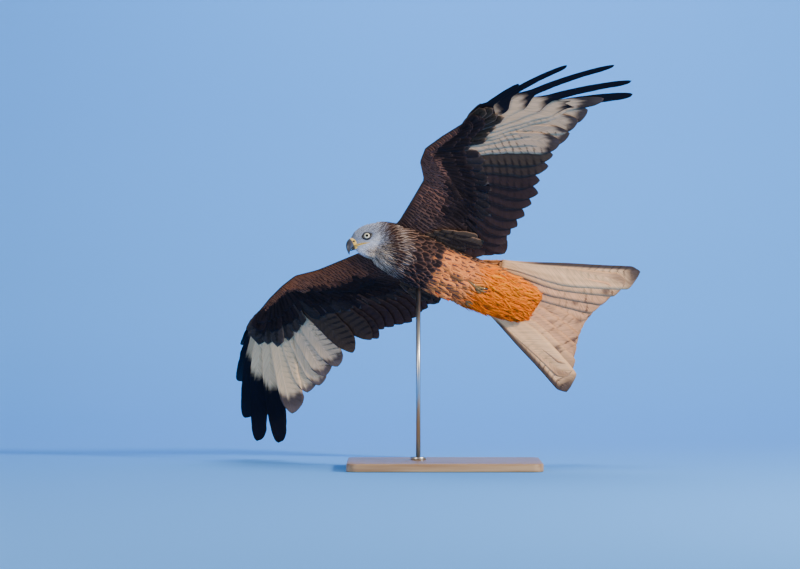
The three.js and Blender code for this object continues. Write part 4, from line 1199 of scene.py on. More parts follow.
def eyeFrame(side):
    gaze = unit(np.array(eyes["gaze"]) * [1, side, 1])
    front = unit(np.array([1, 0, -0.12]) - gaze * gaze.dot([1, 0, -0.12]))
    return np.array(eyes["centre"]) * [1, side, 1], gaze, front, np.cross(gaze, front) * side


# How far places of the head's frame lie outside the edge of the lids
def besideEye(spots):
    gaps = []
    for side in (1, -1):
        centre, gaze, front, up = eyeFrame(side)
        away = spots - centre
        across, over = away @ front, away @ up
        distance = np.hypot(across, over)
        corner = np.abs(across / np.maximum(distance, 1e-6)) ** 8
        gap = distance - eyes["lidOut"] - eyes["corner"] * corner
        gaps.append(np.where(away @ gaze > -2, gap, 40.0))
    return np.minimum(*gaps)


# How feathers grow at places of the skin: their sizes and directions, and how far each place belongs
# to the head, the vent, the neck and the underside
def coatGrowth(spots, out):
    x, y, z = spots.T
    onHead = toHead(spots)
    headward = smooth(-66, -42, onHead[:, 0]) * smooth(60, 100, x)
    away = onHead - np.array(coat["billBase"])
    reach = np.linalg.norm(away, axis=1)
    headLine = (unit(away) * [1, 0.8, 1] + [-0.25, 0, 0]) @ headAxes
    aside = 0.10 * np.sign(y) * smooth(0, 40, np.abs(y))
    bodyLine = np.stack([-np.ones(len(x)), aside, -0.05 * smooth(-20, 20, z)], -1)
    line = unit(mix(bodyLine, unit(headLine), headward[:, None]))
    under = smooth(0.35, -0.25, out[:, 2])
    above, below = (np.interp(x, coat["bodyAt"], coat[key]) for key in ("upperLength", "underLength"))
    length = mix(mix(above, below, under), np.interp(reach, coat["headReach"], coat["headLength"]), headward)
    gap = besideEye(onHead)
    nearEye = (1 - smooth(2, 12, gap)) * (headward > 0.5)
    eye = np.array(eyes["centre"]) * np.where(onHead[:, 1:2] < 0, [1, -1, 1], [1, 1, 1])
    toEye = unit(eye - onHead) @ headAxes
    line = unit(line - toEye * (nearEye * np.maximum((line * toEye).sum(1), 0))[:, None])
    nearLids = np.minimum(length, coat["lidLength"] + 0.9 * np.maximum(gap, 0))
    length = np.where(headward > 0.5, nearLids, length)
    vent = smooth(-35, -75, x) * under * (1 - headward)
    throat = headward * smooth(-12, -34, onHead[:, 2])
    neck = smooth(86, 114, x + 10 * smooth(0, -40, z)) * (1 - smooth(0.9, 1, headward))
    space = mix(coat["bodySpace"], coat["ventSpace"], vent)
    space = mix(space, coat["headSpace"], np.maximum(headward, 0.7 * neck))
    wide = mix(coat["bodyWide"], coat["ventWide"], vent)
    wide = mix(wide, mix(coat["headWide"], coat["throatWide"], throat), np.maximum(headward, 0.8 * neck))
    return {"length": length, "line": line, "space": space, "wide": wide, "headward": headward, "vent": vent,
            "gap": gap, "under": under, "neck": neck, "onHead": onHead, "reach": reach}


# Paint from the breast's drops to the bright vent, and above from the mantle to the rump:
# tone, rim, mark, and the sizes of streak, its end and rim. Below, this is partly the kite's own colours and
# partly painted light: painted shade of the left wing darkens the breast, painted sunlight brightens the rear
# belly
def bodyPaint(spots, under, vent):
    x, y, z = spots.T
    upper, rump = 1 - under, smooth(-50, -100, x)
    # Painted sunlight: behind this jagged line the belly is painted bright orange, ahead of it the breast stays
    # in painted shade of the left wing
    belly = smooth(33, 18, x + 3 * np.sin(y * 0.21) + 2 * np.sin(y * 0.5 + 1)) * under
    streaks = 0.5 + 0.5 * np.sin(x * 0.11 + y * 0.35 + z * 0.2)
    # Painted shade and light on the vent: darker towards its right side, paler towards its left, over its own
    # loose streaks
    ventTone = mix(coat["vent"], coat["ventShadedStreak"], 0.6 * streaks * smooth(-20, 10, y * -1 - 10))
    ventTone = mix(ventTone, coat["ventSunlitStreak"], 0.5 * (1 - streaks) * smooth(5, 40, y))
    tone = mix(coat["breast"], coat["belly"], belly)
    tone = mix(tone, ventTone, smooth(-55, -95, x + 6 * np.sin(y * 0.3)) * under)
    tone = mix(tone, mix(coat["mantle"], coat["rump"], rump), upper)
    rim = mix(mix(coat["breastRim"], coat["sunlitBellyRim"], belly), ventTone, vent)
    rim = mix(rim, mix(coat["mantleRim"], coat["rumpRim"], rump), upper)
    mark = mix(mix(coat["breastMark"], coat["sunlitBellyMark"], belly), coat["mantleMark"], upper)
    streak = mix(mix(mix(0.66, 0.34, belly), 0.0, smooth(-45, -80, x)), mix(0.45, 0.2, rump), upper)
    end = mix(mix(0.93, 0.80, belly), 0.97, upper)
    return tone, rim, mark, streak, end, mix(mix(0.17, 0.14, belly), 0.16, upper)


# Paint of the head: tone, rim, mark and the width of the streak, and how far a place is on the throat
def headPaint(onHead):
    ahead, above = onHead[:, 0], onHead[:, 2]
    pale = smooth(9, -14, above + 0.25 * ahead)
    behind = smooth(6, -26, ahead) * smooth(-8, 14, above)
    below = smooth(-14, -30, above) * smooth(28, 4, ahead)
    tone = mix(mix(coat["head"], coat["headPale"], 0.75 * pale), coat["nape"], 0.8 * behind)
    rim = mix(coat["headRim"], coat["headPale"], pale)
    streaked = np.maximum(below, np.maximum(0.8 * behind, smooth(2, -22, ahead)))
    streak = mix(mix(0.36, 0.16, pale), 0.42, streaked)
    return (mix(tone, coat["throat"], below), mix(rim, coat["throatRim"], below),
            mix(coat["headMark"], coat["throatMark"], below), streak, below)


# What grows at places of the skin: sizes, directions and paint
def coatStyle(spots, out):
    style = coatGrowth(spots, out)
    onHead, neck, reach = style["onHead"], style["neck"], style["reach"]
    ahead, above = onHead[:, 0], onHead[:, 2]
    tone, rim, mark, streak, end, edge = bodyPaint(spots, style["under"], style["vent"])
    tone = mix(mix(tone, coat["neck"], neck), coat["neckFront"],
               neck * smooth(-76, -42, ahead) * (0.45 + 0.55 * smooth(12, -14, above)))
    rim = mix(mix(rim, coat["neckRim"], neck), coat["neckFrontRim"], neck * smooth(-66, -40, ahead))
    mark = mix(mix(mark, coat["neckMark"], neck), coat["neckFrontMark"], neck * smooth(-70, -46, ahead))
    headTone, headRim, headMark, headStreak, below = headPaint(onHead)
    full = smooth(-34, -10, ahead + 6 * smooth(0, 20, above)) * smooth(0.35, 1.0, style["headward"])
    tone, rim, mark = mix(tone, headTone, full), mix(rim, headRim, full), mix(mark, headMark, full)
    # long thin streaks that run back from the bill over throat, cheeks and nape
    around = np.arctan2(np.abs(onHead[:, 1]), 2 - above)
    lines = smooth(0.25, 0.75, np.sin(coat["streaksAround"] * around + 1.2 * np.sin(0.08 * reach)))
    lines = lines * (0.35 + 0.65 * np.sin(0.22 * reach + 9.5 * around) ** 2) * smooth(12, 30, reach)
    lines = lines * np.maximum(full * mix(0.5 * smooth(4, -20, ahead), 0.95, below),
                               0.85 * neck * smooth(-84, -50, ahead))
    front = np.maximum(neck, full)
    sizes = markSizes(len(spots), mix(mix(streak, 0.46, neck), headStreak, full), mix(end, 1.0, front),
                      mix(edge, mix(0.30, 0.34, full), front))
    return {**style, "tone": mix(tone, coat["streakTone"], lines), "rim": mix(rim, coat["streakTone"], lines),
            "mark": mark, "pattern": sizes}


def cellOf(spot, size):
    return tuple(int(value // size) for value in spot)


def tooNear(table, size, spot, gap):
    i, j, k = cellOf(spot, size)
    around = itertools.product((i - 1, i, i + 1), (j - 1, j, j + 1), (k - 1, k, k + 1))
    return any(math.dist(spot, other) < gap for cell in around for other in table.get(cell, ()))


# Places for feathers, no two nearer than the space between them there
def coatSites():
    corners = skinPoints[skinCorners]
    normal = np.cross(corners[:, 1] - corners[:, 0], corners[:, 2] - corners[:, 0])
    area = np.linalg.norm(normal, axis=1) / 2
    out = unit(normal)
    middle = corners.mean(1)
    style = coatGrowth(middle, out)
    x, y, z = middle.T
    zone = coat["wingRoot"]
    inWing = (x > zone["from"]) & (x < zone["to"]) & (z > zone["low"]) & (z < zone["high"])
    inWing = inWing & (np.abs(y) > zone["aside"])
    underTail = (x < coat["tailRoot"]) & (out[:, 2] > 0.12)
    onBill = style["onHead"][:, 0] > coat["billRoot"]
    bare = inWing | underTail | onBill | ((style["gap"] < 0.2) & (style["headward"] > 0.5))
    spacing = style["length"] * style["space"]
    weight = np.where(bare, 0, area / spacing ** 2)
    chosen = rng.choice(len(area), coat["candidates"], p=weight / weight.sum())
    shares = rng.random((len(chosen), 2))
    root = np.sqrt(shares[:, :1])
    spots = corners[chosen, 0] * (1 - root) + corners[chosen, 1] * root * (1 - shares[:, 1:]) \
        + corners[chosen, 2] * root * shares[:, 1:]
    spacing = spacing[chosen]
    sizes = 2.0 ** (np.floor(np.log2(spacing)) + 1)
    cells = {size: {} for size in np.unique(sizes).tolist()}
    kept = []
    for index, (spot, gap, own) in enumerate(zip(spots.tolist(), spacing.tolist(), sizes.tolist())):
        if tooNear(cells[own], own, spot, gap):
            continue
        kept.append(index)
        for size, table in cells.items():
            table.setdefault(cellOf(spot, size), []).append(spot)
    return spots[kept], out[chosen[kept]]


def bakePlace(spots, onHead, headward):
    angle = np.arctan2(spots[:, 2], spots[:, 1]) / (2 * math.pi) + 0.5
    body = np.stack([0.02 + 0.60 * angle, 0.02 + 0.94 * (spots[:, 0] + 260) / 420], -1)
    turn = np.arctan2(onHead[:, 2], onHead[:, 1]) / (2 * math.pi) + 0.5
    head = np.stack([0.66 + 0.32 * turn, 0.02 + 0.94 * (onHead[:, 0] + 90) / 135], -1)
    return np.where((headward > 0.3)[:, None], head, body)


# Blades over the skin from their roots: they rise off it toward their tips and lie over those behind
def coatPiece(name, spots, style, stations, columns, ruffle=0.0):
    count = len(spots)
    jitter = rng.normal(0, 1, (count, 6))
    length = style["length"] * (1 + coat["lengthSpread"] * np.clip(jitter[:, 0], -2, 2))
    steps = 4
    place, out = onSkin(spots)
    rows, outs = [place], [out]
    turn = np.radians(coat["turn"] * (1 + 1.3 * style["vent"]) * jitter[:, 1])
    line = unit(style["line"] - out * (style["line"] * out).sum(1, keepdims=True))
    line = line * np.cos(turn)[:, None] + np.cross(out, line) * np.sin(turn)[:, None]
    for _ in range(steps):
        place, out = onSkin(rows[-1] + line * (length / steps)[:, None])
        line = unit(line - out * (line * out).sum(1, keepdims=True))
        rows.append(place)
        outs.append(out)
    share = np.linspace(0, 1, steps + 1)
    lift = (coat["lift"] + coat["liftShare"] * length)[:, None] * share * (1 + 0.25 * jitter[:, 2:3])
    lift = lift - coat["rootDepth"] * (1 - share)
    lift = lift + ruffle * length[:, None] * share ** 2 * (0.5 + 0.5 * jitter[:, 3:4])
    rows, outs = np.stack(rows, 1), np.stack(outs, 1)
    t = easedStations(stations, 0.35)
    lines = throughPoints(rows + outs * lift[..., None], t)
    across, normals = framesOf(lines, unit(throughPoints(outs, t)), 1.0, coat["tilt"] * jitter[:, 4])
    sway = ruffle * length * 0.5 * jitter[:, 5]
    lines = lines + across * (sway[:, None] * t ** 2)[..., None]
    sharp = np.maximum(style["vent"], np.maximum(style["neck"], style["headward"]))[:, None]
    start, sweep, least = coat["pointed"]
    pointed = mix(start, 1.0, smooth(0, 0.3, t)) * (1 - t ** sweep) + least
    outline = mix(roundOutline(t, *coat["rounded"])[None, :], pointed[None, :], sharp)
    halves = (length * style["wide"] / 2)[:, None] * outline
    tone = style["tone"] * (1 + (0.10 + 0.06 * style["vent"][:, None]) * jitter[:, 3:4])
    tone = tone * (1 + 0.03 * jitter[:, 1:2] * [1, 0, -1])
    bars = np.zeros((count, 4))
    bars[:, 3] = rng.random(count)
    paint = {"tone": fourth(np.clip(tone, 0.005, 1)), "mark": style["mark"], "rim": style["rim"],
             "pattern": style["pattern"], "bars": bars}
    thick = np.clip(coat["thickShare"] * length, *coat["thick"])
    bake = bakePlace(spots, style["onHead"], style["headward"])
    mesh = vaneMesh(name, lines, across, normals, halves, t, columns, thick, coat["edge"], coat["camber"], 0.5,
                    paint, bake)
    print(name, count, "feathers", len(mesh.polygons) * 2, "triangles")
    return addObject(name, mesh, [contourPaint])


def bodyCoat():
    spots, out = coatSites()
    style = coatStyle(spots, out)
    head = style["headward"] > 0.35
    vent = (style["vent"] > 0.4) & ~head
    back = (style["under"] < 0.5) & ~head & ~vent
    breast = ~head & ~vent & ~back
    left = style["onHead"][:, 1] > 0
    for name, slotName, mask, stations, columns, ruffle in (
            ("head_feathers_left", "head_feathers", head & left, 7, 3, 0.0),
            ("head_feathers_right", "head_feathers", head & ~left, 7, 3, 0.0),
            ("vent_feathers", "body_feathers", vent, 9, 3, 0.06),
            ("back_feathers", "body_feathers", back, 10, 5, 0.0),
            ("breast_feathers", "body_feathers", breast, 11, 5, 0.01)):
        own = {key: value[mask] for key, value in style.items()}
        coatPiece(name, spots[mask], own, stations, columns, ruffle)


# Bill, cere, mouth and eyes, in the head's frame

bill = {
    # ahead, up, tilt in degrees, half width and half height
    "rings": [[28, -3.2, 0, 9.6, 11.2], [33, -3.0, 2, 9.4, 11.2], [37, -3.0, 8, 8.9, 11.0],
              [41, -4.4, 21, 7.9, 10.6], [45, -8.6, 44, 6.1, 8.8], [47.6, -14, 66, 4.3, 6.0],
              [49, -19.5, 82, 2.7, 3.4], [49.6, -24.5, 92, 1.25, 1.5], [49.4, -27.4, 96, 0.3, 0.35]],
    "cereEnd": 0.315, "cereSwell": 0.55,
    "nostril": (36.2, 9.2, -1.6), "nostrilSize": (3.1, 1, 2.4), "nostrilDepth": 1.3,
    "lower": [[24, -14.2, 8.2, 3.2], [30, -15.0, 7.6, 3.1], [36, -16.2, 6.2, 2.8], [41, -17.6, 4.4, 2.0],
              [44.4, -18.5, 2.2, 0.9]],
    "horn": (0.038, 0.038, 0.050), "hornPale": (0.085, 0.088, 0.115), "hornTip": (0.012, 0.012, 0.014),
    # The nostril's dark tone is painted shade inside its opening
    "yellow": (0.80, 0.50, 0.085), "yellowPale": (0.82, 0.55, 0.135), "nostrilShade": (0.02, 0.012, 0.01),
    "gapePath": [(36.5, 7.6, -11.9), (30, 11.0, -11.6), (22, 14.4, -11.2), (13, 17.4, -11.4),
                 (5, 19.6, -12.4)],
    # The mouth's dark tone is painted shade in the seam between the mandibles
    "gapeRadius": [2.3, 2.6, 2.1, 1.3, 0.5], "mouth": (0.05, 0.03, 0.02),
}


def headLoft(rings):
    shape = bmesh.new()
    loft(shape, [fromHead(ring) for ring in rings])
    return shape


def billRing(values, grow, around):
    x, z, tilt, half, deep = values
    turn = math.radians(tilt)
    up = np.array([math.sin(turn), 0, math.cos(turn)])
    angle = np.linspace(0, 2 * math.pi, around, endpoint=False)
    sine, cosine = np.sin(angle), np.cos(angle)
    narrow = 1 - 0.22 * np.clip(sine, 0, 1) ** 2
    height = np.where(sine > 0, np.abs(sine) ** 0.92, -0.92 * np.abs(sine) ** 0.75) * (deep + grow)
    return np.array([x, 0, z]) + np.outer((half + grow) * cosine * narrow, [0, 1, 0]) + np.outer(height, up)


# A piece painted by where its points lie on the bird, or all in one tone
def paintedPiece(name, shape, material, paint, hides=()):
    mesh = finishShape(shape, name)
    setPointColour(mesh, "tone", paint(toBird(readPoints(mesh))) if callable(paint) else paint)
    return addObject(name, mesh, [material], hides)


def hornTone(points):
    x, _, z = toHead(points).T
    ridge = smooth(0.2, 1, (x - 40) / 9 + (z + 8) / 20)
    tone = mix(bill["hornPale"], bill["horn"], smooth(38, 46, x) * 0.9 + 0.1 * ridge)
    return mix(tone, bill["hornTip"], smooth(-10, -24, z))


# How deep in the nostril places of the head's frame lie: 1 inside, 0 outside
def nostrilDepth(spots):
    away = (spots * [1, 0, 1] - np.array(bill["nostril"]) * [1, 0, 1]) / bill["nostrilSize"]
    lean = away @ np.array([[0.94, 0, 0.34], [0, 1, 0], [-0.34, 0, 0.94]])
    return 1 - smooth(0.55, 1.15, np.linalg.norm(lean, axis=1))


def cereTone(points):
    spots = toHead(points)
    tone = mix(bill["yellow"], bill["yellowPale"], smooth(-2, 8, spots[:, 2]) * 0.6)
    # The nostril's dent is painted dark: painted shade inside its opening
    return mix(tone, bill["nostrilShade"], nostrilDepth(spots))


def lowerTone(points):
    return mix(bill["yellow"], bill["horn"], smooth(33.5, 37.5, toHead(points)[:, 0]))


# The yellow fold of the gape and the dark line of the mouth along it, a thin piece painted dark as the shade in
# the seam between the mandibles
def gapePieces(side, sideName):
    path = throughPoints(np.array(bill["gapePath"]) * [1, side, 1], np.linspace(0, 1, 24))
    inside, out = onSkin(fromHead(path[5:]))
    skinPath = toHead(inside + out * 0.9)
    share = smooth(0, 0.25, np.linspace(0, 1, len(skinPath)))[:, None]
    path = np.concatenate([path[:5], path[5:] * (1 - share) + skinPath * share])
    ahead = unit(np.gradient(path, axis=0))
    radii = alongList(bill["gapeRadius"], np.linspace(0, 1, 24))
    for label, size, shift, material, tone in (("gape", 1.0, 0.0, skinPaint, bill["yellow"]),
                                               ("mouth_line", 0.26, 0.72, hornPaint, bill["mouth"])):
        rings = []
        for spot, along, radius in zip(path, ahead, radii):
            outward = unit(np.array([0.25, side, 0]) - along * along.dot([0.25, side, 0]))
            rings.append(ellipseRing(spot + outward * radius * shift, outward, np.cross(along, outward),
                                     radius * size * 0.8, radius * size, radius * size, 16))
        paintedPiece(f"{label}_{sideName}", headLoft(rings), material, tone)


def billPieces():
    shares = np.linspace(0.27, 1, 56)
    shape = headLoft([billRing(values, 0, 48) for values in throughPoints(bill["rings"], shares)])
    paintedPiece("bill_hook", shape, hornPaint, hornTone, ["bill_upper"])
    shares = np.linspace(0.0, bill["cereEnd"], 44)
    nearEnd = np.clip((shares / bill["cereEnd"] - 0.86) / 0.14, 0, 1)
    swell = bill["cereSwell"] * np.sqrt(np.clip(1 - nearEnd ** 2, 0, 1)) - 0.05
    rings = throughPoints(bill["rings"], shares)
    shape = headLoft([billRing(values, grow, 96) for values, grow in zip(rings, swell)])
    for vertex in shape.verts:
        spot = toHead(toBird([vertex.co]))
        spot[:, 1] -= np.sign(spot[:, 1]) * bill["nostrilDepth"] * nostrilDepth(spot)
        vertex.co = Vector(toRow(fromHead(spot))[0])
    paintedPiece("cere_skin", shape, skinPaint, cereTone, ["cere"])
    rings = [billRing([x, z, -12, half, deep], 0, 36)
             for x, z, half, deep in throughPoints(bill["lower"], np.linspace(0, 1, 30))]
    paintedPiece("bill_lower_half", headLoft(rings), hornPaint, lowerTone, ["bill_lower"])
    gapePieces(1, "left")
    gapePieces(-1, "right")


def eyeTone(points, side):
    centre, _, front, up = eyeFrame(side)
    away = toHead(points) - centre
    across, over = away @ front, away @ up
    distance, angle = np.hypot(across, over), np.arctan2(over, across)
    rays = 1 + 0.10 * np.sin(angle * 23) * smooth(2, 4, distance)
    tone = mix(eyes["irisTone"], eyes["irisOuter"], smooth(4.4, 6.2, distance)) * rays[:, None]
    tone = mix(eyes["irisInner"], tone, smooth(eyes["pupil"], eyes["pupil"] + 0.4, distance))
    tone = mix(tone, eyes["irisEdge"], smooth(5.75, 6.2, distance))
    return mix(eyes["pupilTone"], tone, smooth(eyes["pupil"] - 0.15, eyes["pupil"] + 0.15, distance))


# How far the eyeball's surface stands out along its gaze, at a distance from the middle
def ballLevel(radius):
    return math.sqrt(max(eyes["radius"] ** 2 - radius ** 2, 4))


# One cut through the lids, at an angle around the eye: from their inner edge over the crest and back below
def lidRing(side, angle):
    centre, gaze, front, up = eyeFrame(side)
    cosine, sine = math.cos(angle), math.sin(angle)
    inner = eyes["lidIn"] - (0.5 if sine > 0 else 0.1) * abs(sine) ** 2 + 0.9 * abs(cosine) ** 7
    outer = eyes["lidOut"] + eyes["corner"] * abs(cosine) ** 9
    way = front * cosine + up * sine
    edge = centre + way * outer
    hit = skinTree.ray_cast(Vector(fromHead(edge + gaze * 22)), Vector(gaze @ headAxes * -1), 40)[0]
    ball = ballLevel(inner)
    level = (toHead(np.array(hit)) - centre) @ gaze if hit else ball - 2
    half = (inner + outer) / 2
    crest = max(ballLevel(min(half, 8.2)) + 1.0, mix(ball, level, 0.5) + 0.9)
    cut = [(inner, ball - 0.7), (inner + 0.05, ball + 0.75), (inner + 0.7, ball + 1.15), (half, crest),
           (outer, level + 0.5), (outer + 0.2, level - 1.5), (half, min(level, ball) - 2.5)]
    return np.array([centre + way * radius + gaze * height for radius, height in cut])


def eyePieces():
    for side, sideName in ((1, "left"), (-1, "right")):
        centre, gaze, front, up = eyeFrame(side)
        shape = bmesh.new()
        bmesh.ops.create_uvsphere(shape, u_segments=64, v_segments=48, radius=1)
        for vertex in shape.verts:
            spot = np.array(vertex.co)
            flat = np.hypot(spot[0], spot[1]) * eyes["radius"]
            bulge = eyes["cornea"] * max(0, 1 - (flat / eyes["iris"]) ** 2) if spot[2] > 0 else 0
            spot = spot * (eyes["radius"] + bulge)
            vertex.co = Vector(toRow(fromHead(centre + front * spot[0] + up * spot[1] + gaze * spot[2])))
        paintedPiece(f"eyeball_{sideName}", shape, eyePaint, lambda points: eyeTone(points, side),
                     [f"eye_{sideName}"])
        rings = [lidRing(side, angle) for angle in np.linspace(0, 2 * math.pi, 72, endpoint=False)]
        shape = bmesh.new()
        grid = [[shape.verts.new(toRow(fromHead(point))) for point in ring] for ring in rings]
        for first, second in zip(grid, grid[1:] + grid[:1]):
            for index in range(len(first)):
                after = (index + 1) % len(first)
                shape.faces.new((first[index], first[after], second[after], second[index]))
        paintedPiece(f"eyelids_{sideName}", shape, skinPaint, eyes["lidTone"])


# Feet

def feetPieces():
    for side, sideName in ((1, "left"), (-1, "right")):
        flip = np.array([1, side, 1])
        heel, ankle = np.array(feet["heel"]) * flip, np.array(feet["ankle"]) * flip
        shape, claws = bmesh.new(), bmesh.new()
        shank = [heel, (heel + ankle) / 2 + [0, 0, -1], ankle]
        loft(shape, limbRings(shank, feet["shankRadius"], 20, 40, 9, 0.03))
        for spread, drop, length in feet["toes"]:
            base = ankle + [3, spread * 0.3, 0]
            middle = ankle + [-length * 0.45, spread * 0.8, -2.5 + drop * 0.2]
            end = ankle + [-length * 0.85, spread, 1.0 - drop * 0.3]
            radii = [feet["toeRadius"] * share for share in (1.15, 1, 0.75)]
            loft(shape, limbRings([base, middle, end], radii, 18, 44, 3, 0.09))
            reach = feet["clawLength"] * (0.8 + length / 150)
            curve = [end + [2, 0, 0], end + [-reach * 0.40, spread * 0.05, 1.5],
                     end + [-reach * 0.50, spread * 0.1, reach * 0.42],
                     end + [-reach * 0.28, spread * 0.1, reach * 0.72]]
            loft(claws, limbRings(curve, feet["clawRadius"], 16, 28))
        # painted in the darkened yellow, as painted shade
        paintedPiece(f"foot_{sideName}", shape, footPaint, feet["yellow"],
                     [f"leg_{sideName}"])
        paintedPiece(f"claws_{sideName}", claws, hornPaint, feet["claw"])


# Coverts of the tail's root, above, and the long feathers of the wings' pits, below

rumpCoverts = {
    # start and reach along the tail, width, level, how many, and how far they spread
    "rows": [(6, 0.31, 27, 7.4, 12, 0.76), (0, 0.26, 26, 8.8, 11, 0.72), (-8, 0.21, 24, 10.2, 10, 0.68),
             (-18, 0.16, 23, 11.6, 9, 0.64), (-30, 0.11, 22, 13.0, 8, 0.6)],
    "rootLevel": 3.5, "arch": 3.0, "outline": (0.5, 0.4, 0.7), "pattern": (0.14, 0.9, 0.08, 0),
    "stations": 12, "columns": 5, "thick": 0.6, "edge": 0.2, "camber": 0.15,
}


# Paint of feathers without bars: a tone that varies from one to the next, mark, rim and the marks' sizes
def quietPaint(count, tone, spread, mark, rim, pattern):
    tones = np.array(tone) * rng.uniform(*spread, (count, 1))
    bars = np.zeros((count, 4))
    bars[:, 3] = rng.random(count)
    return {"tone": fourth(tones), "mark": mark, "rim": rim, "pattern": pattern, "bars": bars}


def tailCoverts():
    sets, t = [], easedStations(rumpCoverts["stations"])
    for start, reach, wide, level, count, spread in rumpCoverts["rows"]:
        share = np.linspace(-1, 1, count)
        side = np.where(share < 0, -1.0, 1.0)
        share = np.abs(share + 0.04 * rng.normal(0, 1, count)) * spread
        root, handle, tip, _ = tailEnds(share, side, start, reach * rng.uniform(0.86, 1.1, count),
                                        np.full(count, level))
        root[:, 2] = rumpCoverts["rootLevel"]
        handle[:, 2] += rumpCoverts["arch"]
        lines = onCurve(root, handle, tip, np.broadcast_to(t, (count, len(t))))
        across, normals = framesOf(lines, [0, 0, 1], 1.0, 3 * rng.normal(0, 1, count))
        outline = wide / 2 * roundOutline(t, *rumpCoverts["outline"])
        sets.append({"lines": tailPlace(lines), "across": tailTurn(across), "normals": tailTurn(normals),
                     "halves": np.broadcast_to(outline, (count, len(t)))})
    made = joinSets(sets)
    root = made["lines"][:, 0]
    paint = quietPaint(len(root), coat["rump"], (0.85, 1.15), coat["mantleMark"], coat["rumpRim"],
                       rumpCoverts["pattern"])
    sizes = (rumpCoverts[key] for key in ("columns", "thick", "edge", "camber"))
    mesh = vaneMesh("tail coverts", *made.values(), t, *sizes, 0.5, paint,
                    np.stack([0.5 + root[:, 1] / 200, 0.5 + root[:, 0] / 800], -1))
    addObject("uppertail_coverts", mesh, [contourPaint])


pits = {
    "tone": (0.052, 0.036, 0.026), "mark": (0.020, 0.014, 0.013), "rim": (0.19, 0.11, 0.07),
    "pattern": (0.30, 0.95, 0.07, 0), "outline": (0.4, 0.5, 0.80),
    "lean": 0.10, "level": 6, "rise": 8.8, "sag": 2.5,
    "stations": 16, "columns": 7, "thick": 0.6, "edge": 0.2, "camber": 0.2,
    "roots": [(56, 60), (46, 74), (34, 66), (34, 86), (20, 78), (10, 94), (2, 84)],
    "lengths": [58, 60, 74, 62, 80, 58, 72], "widths": [28, 28, 36, 28, 38, 28, 34],
}


def pitFeathers(sideName):
    side = wings[sideName]["side"]
    t = easedStations(pits["stations"])
    lines = []
    for index, ((x, y), length) in enumerate(zip(pits["roots"], pits["lengths"])):
        lean = pits["lean"] + 0.05 * rng.normal()
        rise = pits["rise"] - 0.7 * (index % 3)
        height = pits["level"] + rise * t - pits["sag"] * np.sin(math.pi * t)
        lines.append(np.stack([x - length * t, side * (y + length * lean * t), height], -1))
    count = len(lines)
    across, normals = framesOf(np.array(lines), [0, 0, -1], -side, 4 * rng.normal(0, 1, count))
    halves = np.array(pits["widths"])[:, None] / 2 * roundOutline(t, *pits["outline"])[None, :]
    paint = quietPaint(count, pits["tone"], (0.85, 1.15), pits["mark"], pits["rim"], pits["pattern"])
    sizes = (pits[key] for key in ("columns", "thick", "edge", "camber"))
    mesh = vaneMesh("pit feathers", np.array(lines), across, normals, halves, t, *sizes, 0.5, paint,
                    np.stack([np.full(count, 0.9), 0.1 + 0.1 * np.arange(count)], -1))
    addObject(f"axillary_feathers_{sideName}", mesh, [contourPaint])


# Shoulder feathers over the join of wing and back

shoulder = {"rows": [(30, 50), (39, 50), (48, 48), (57, 46), (66, 40)], "first": 104, "last": -34, "step": 10,
            "width": 22, "joint": 62, "level": 26, "high": 14, "behind": 60, "ahead": 56,
            "outline": (0.45, 0.4, 0.72), "pattern": (0.45, 0.95, 0.13, 0),
            "stations": 12, "columns": 5, "thick": 0.5, "edge": 0.2, "camber": 0.2, "lift": (1.0, 3.2)}


def shoulderLevel(x, y):
    hit = skinTree.ray_cast(Vector((x, y, 200)), Vector((0, 0, -1)), 300)[0]
    off = (shoulder["joint"] - x) / (shoulder["behind"] if x < shoulder["joint"] else -shoulder["ahead"])
    return max(hit.z if hit else 0, shoulder["level"] + shoulder["high"] * (1 - min(off, 1) ** 0.9))


def shoulderFeathers(sideName):
    side = wings[sideName]["side"]
    t = easedStations(shoulder["stations"])
    lines, widths = [], []
    for row, (aside, length) in enumerate(shoulder["rows"]):
        for x in np.arange(shoulder["first"] - 4 * (row % 2), shoulder["last"], -shoulder["step"]):
            reach = length * rng.uniform(0.88, 1.12)
            path = []
            for share in np.linspace(0, 1, 6):
                spot = (x + rng.normal() * 0.4 - reach * share, side * (aside + 4 * share + 2 * math.sin(x)))
                path.append((*spot, shoulderLevel(*spot) + shoulder["lift"][0] + shoulder["lift"][1] * share))
            lines.append(throughPoints(path, t))
            widths.append(shoulder["width"] * rng.uniform(0.9, 1.1))
    lines = np.array(lines)
    across, normals = framesOf(lines, [0, 0, 1], 1.0, 4 * rng.normal(0, 1, len(lines)))
    halves = np.array(widths)[:, None] / 2 * roundOutline(t, *shoulder["outline"])[None, :]
    paint = quietPaint(len(lines), coat["mantle"], (0.85, 1.2), coat["mantleMark"], coat["mantleRim"],
                       shoulder["pattern"])
    bake = np.stack([0.75 + lines[:, 0, 1] * side / 400, 0.4 + lines[:, 0, 0] / 400], -1)
    sizes = (shoulder[key] for key in ("columns", "thick", "edge", "camber"))
    mesh = vaneMesh("shoulder feathers", lines, across, normals, halves, t, *sizes, 0.5, paint, bake)
    addObject(f"scapular_feathers_{sideName}", mesh, [contourPaint])


# Stand

stand = {"length": 420, "width": 320, "height": 18, "corner": 24, "edge": 3, "rod": 5, "collar": 17,
         "collarHeight": 7, "rodAt": (-56, 19), "seam": 0.3, "wood": (0.40, 0.24, 0.12),
         "darkGrain": (0.30, 0.17, 0.08, 1), "paleGrain": (0.46, 0.29, 0.15, 1), "steel": (0.55, 0.55, 0.55)}


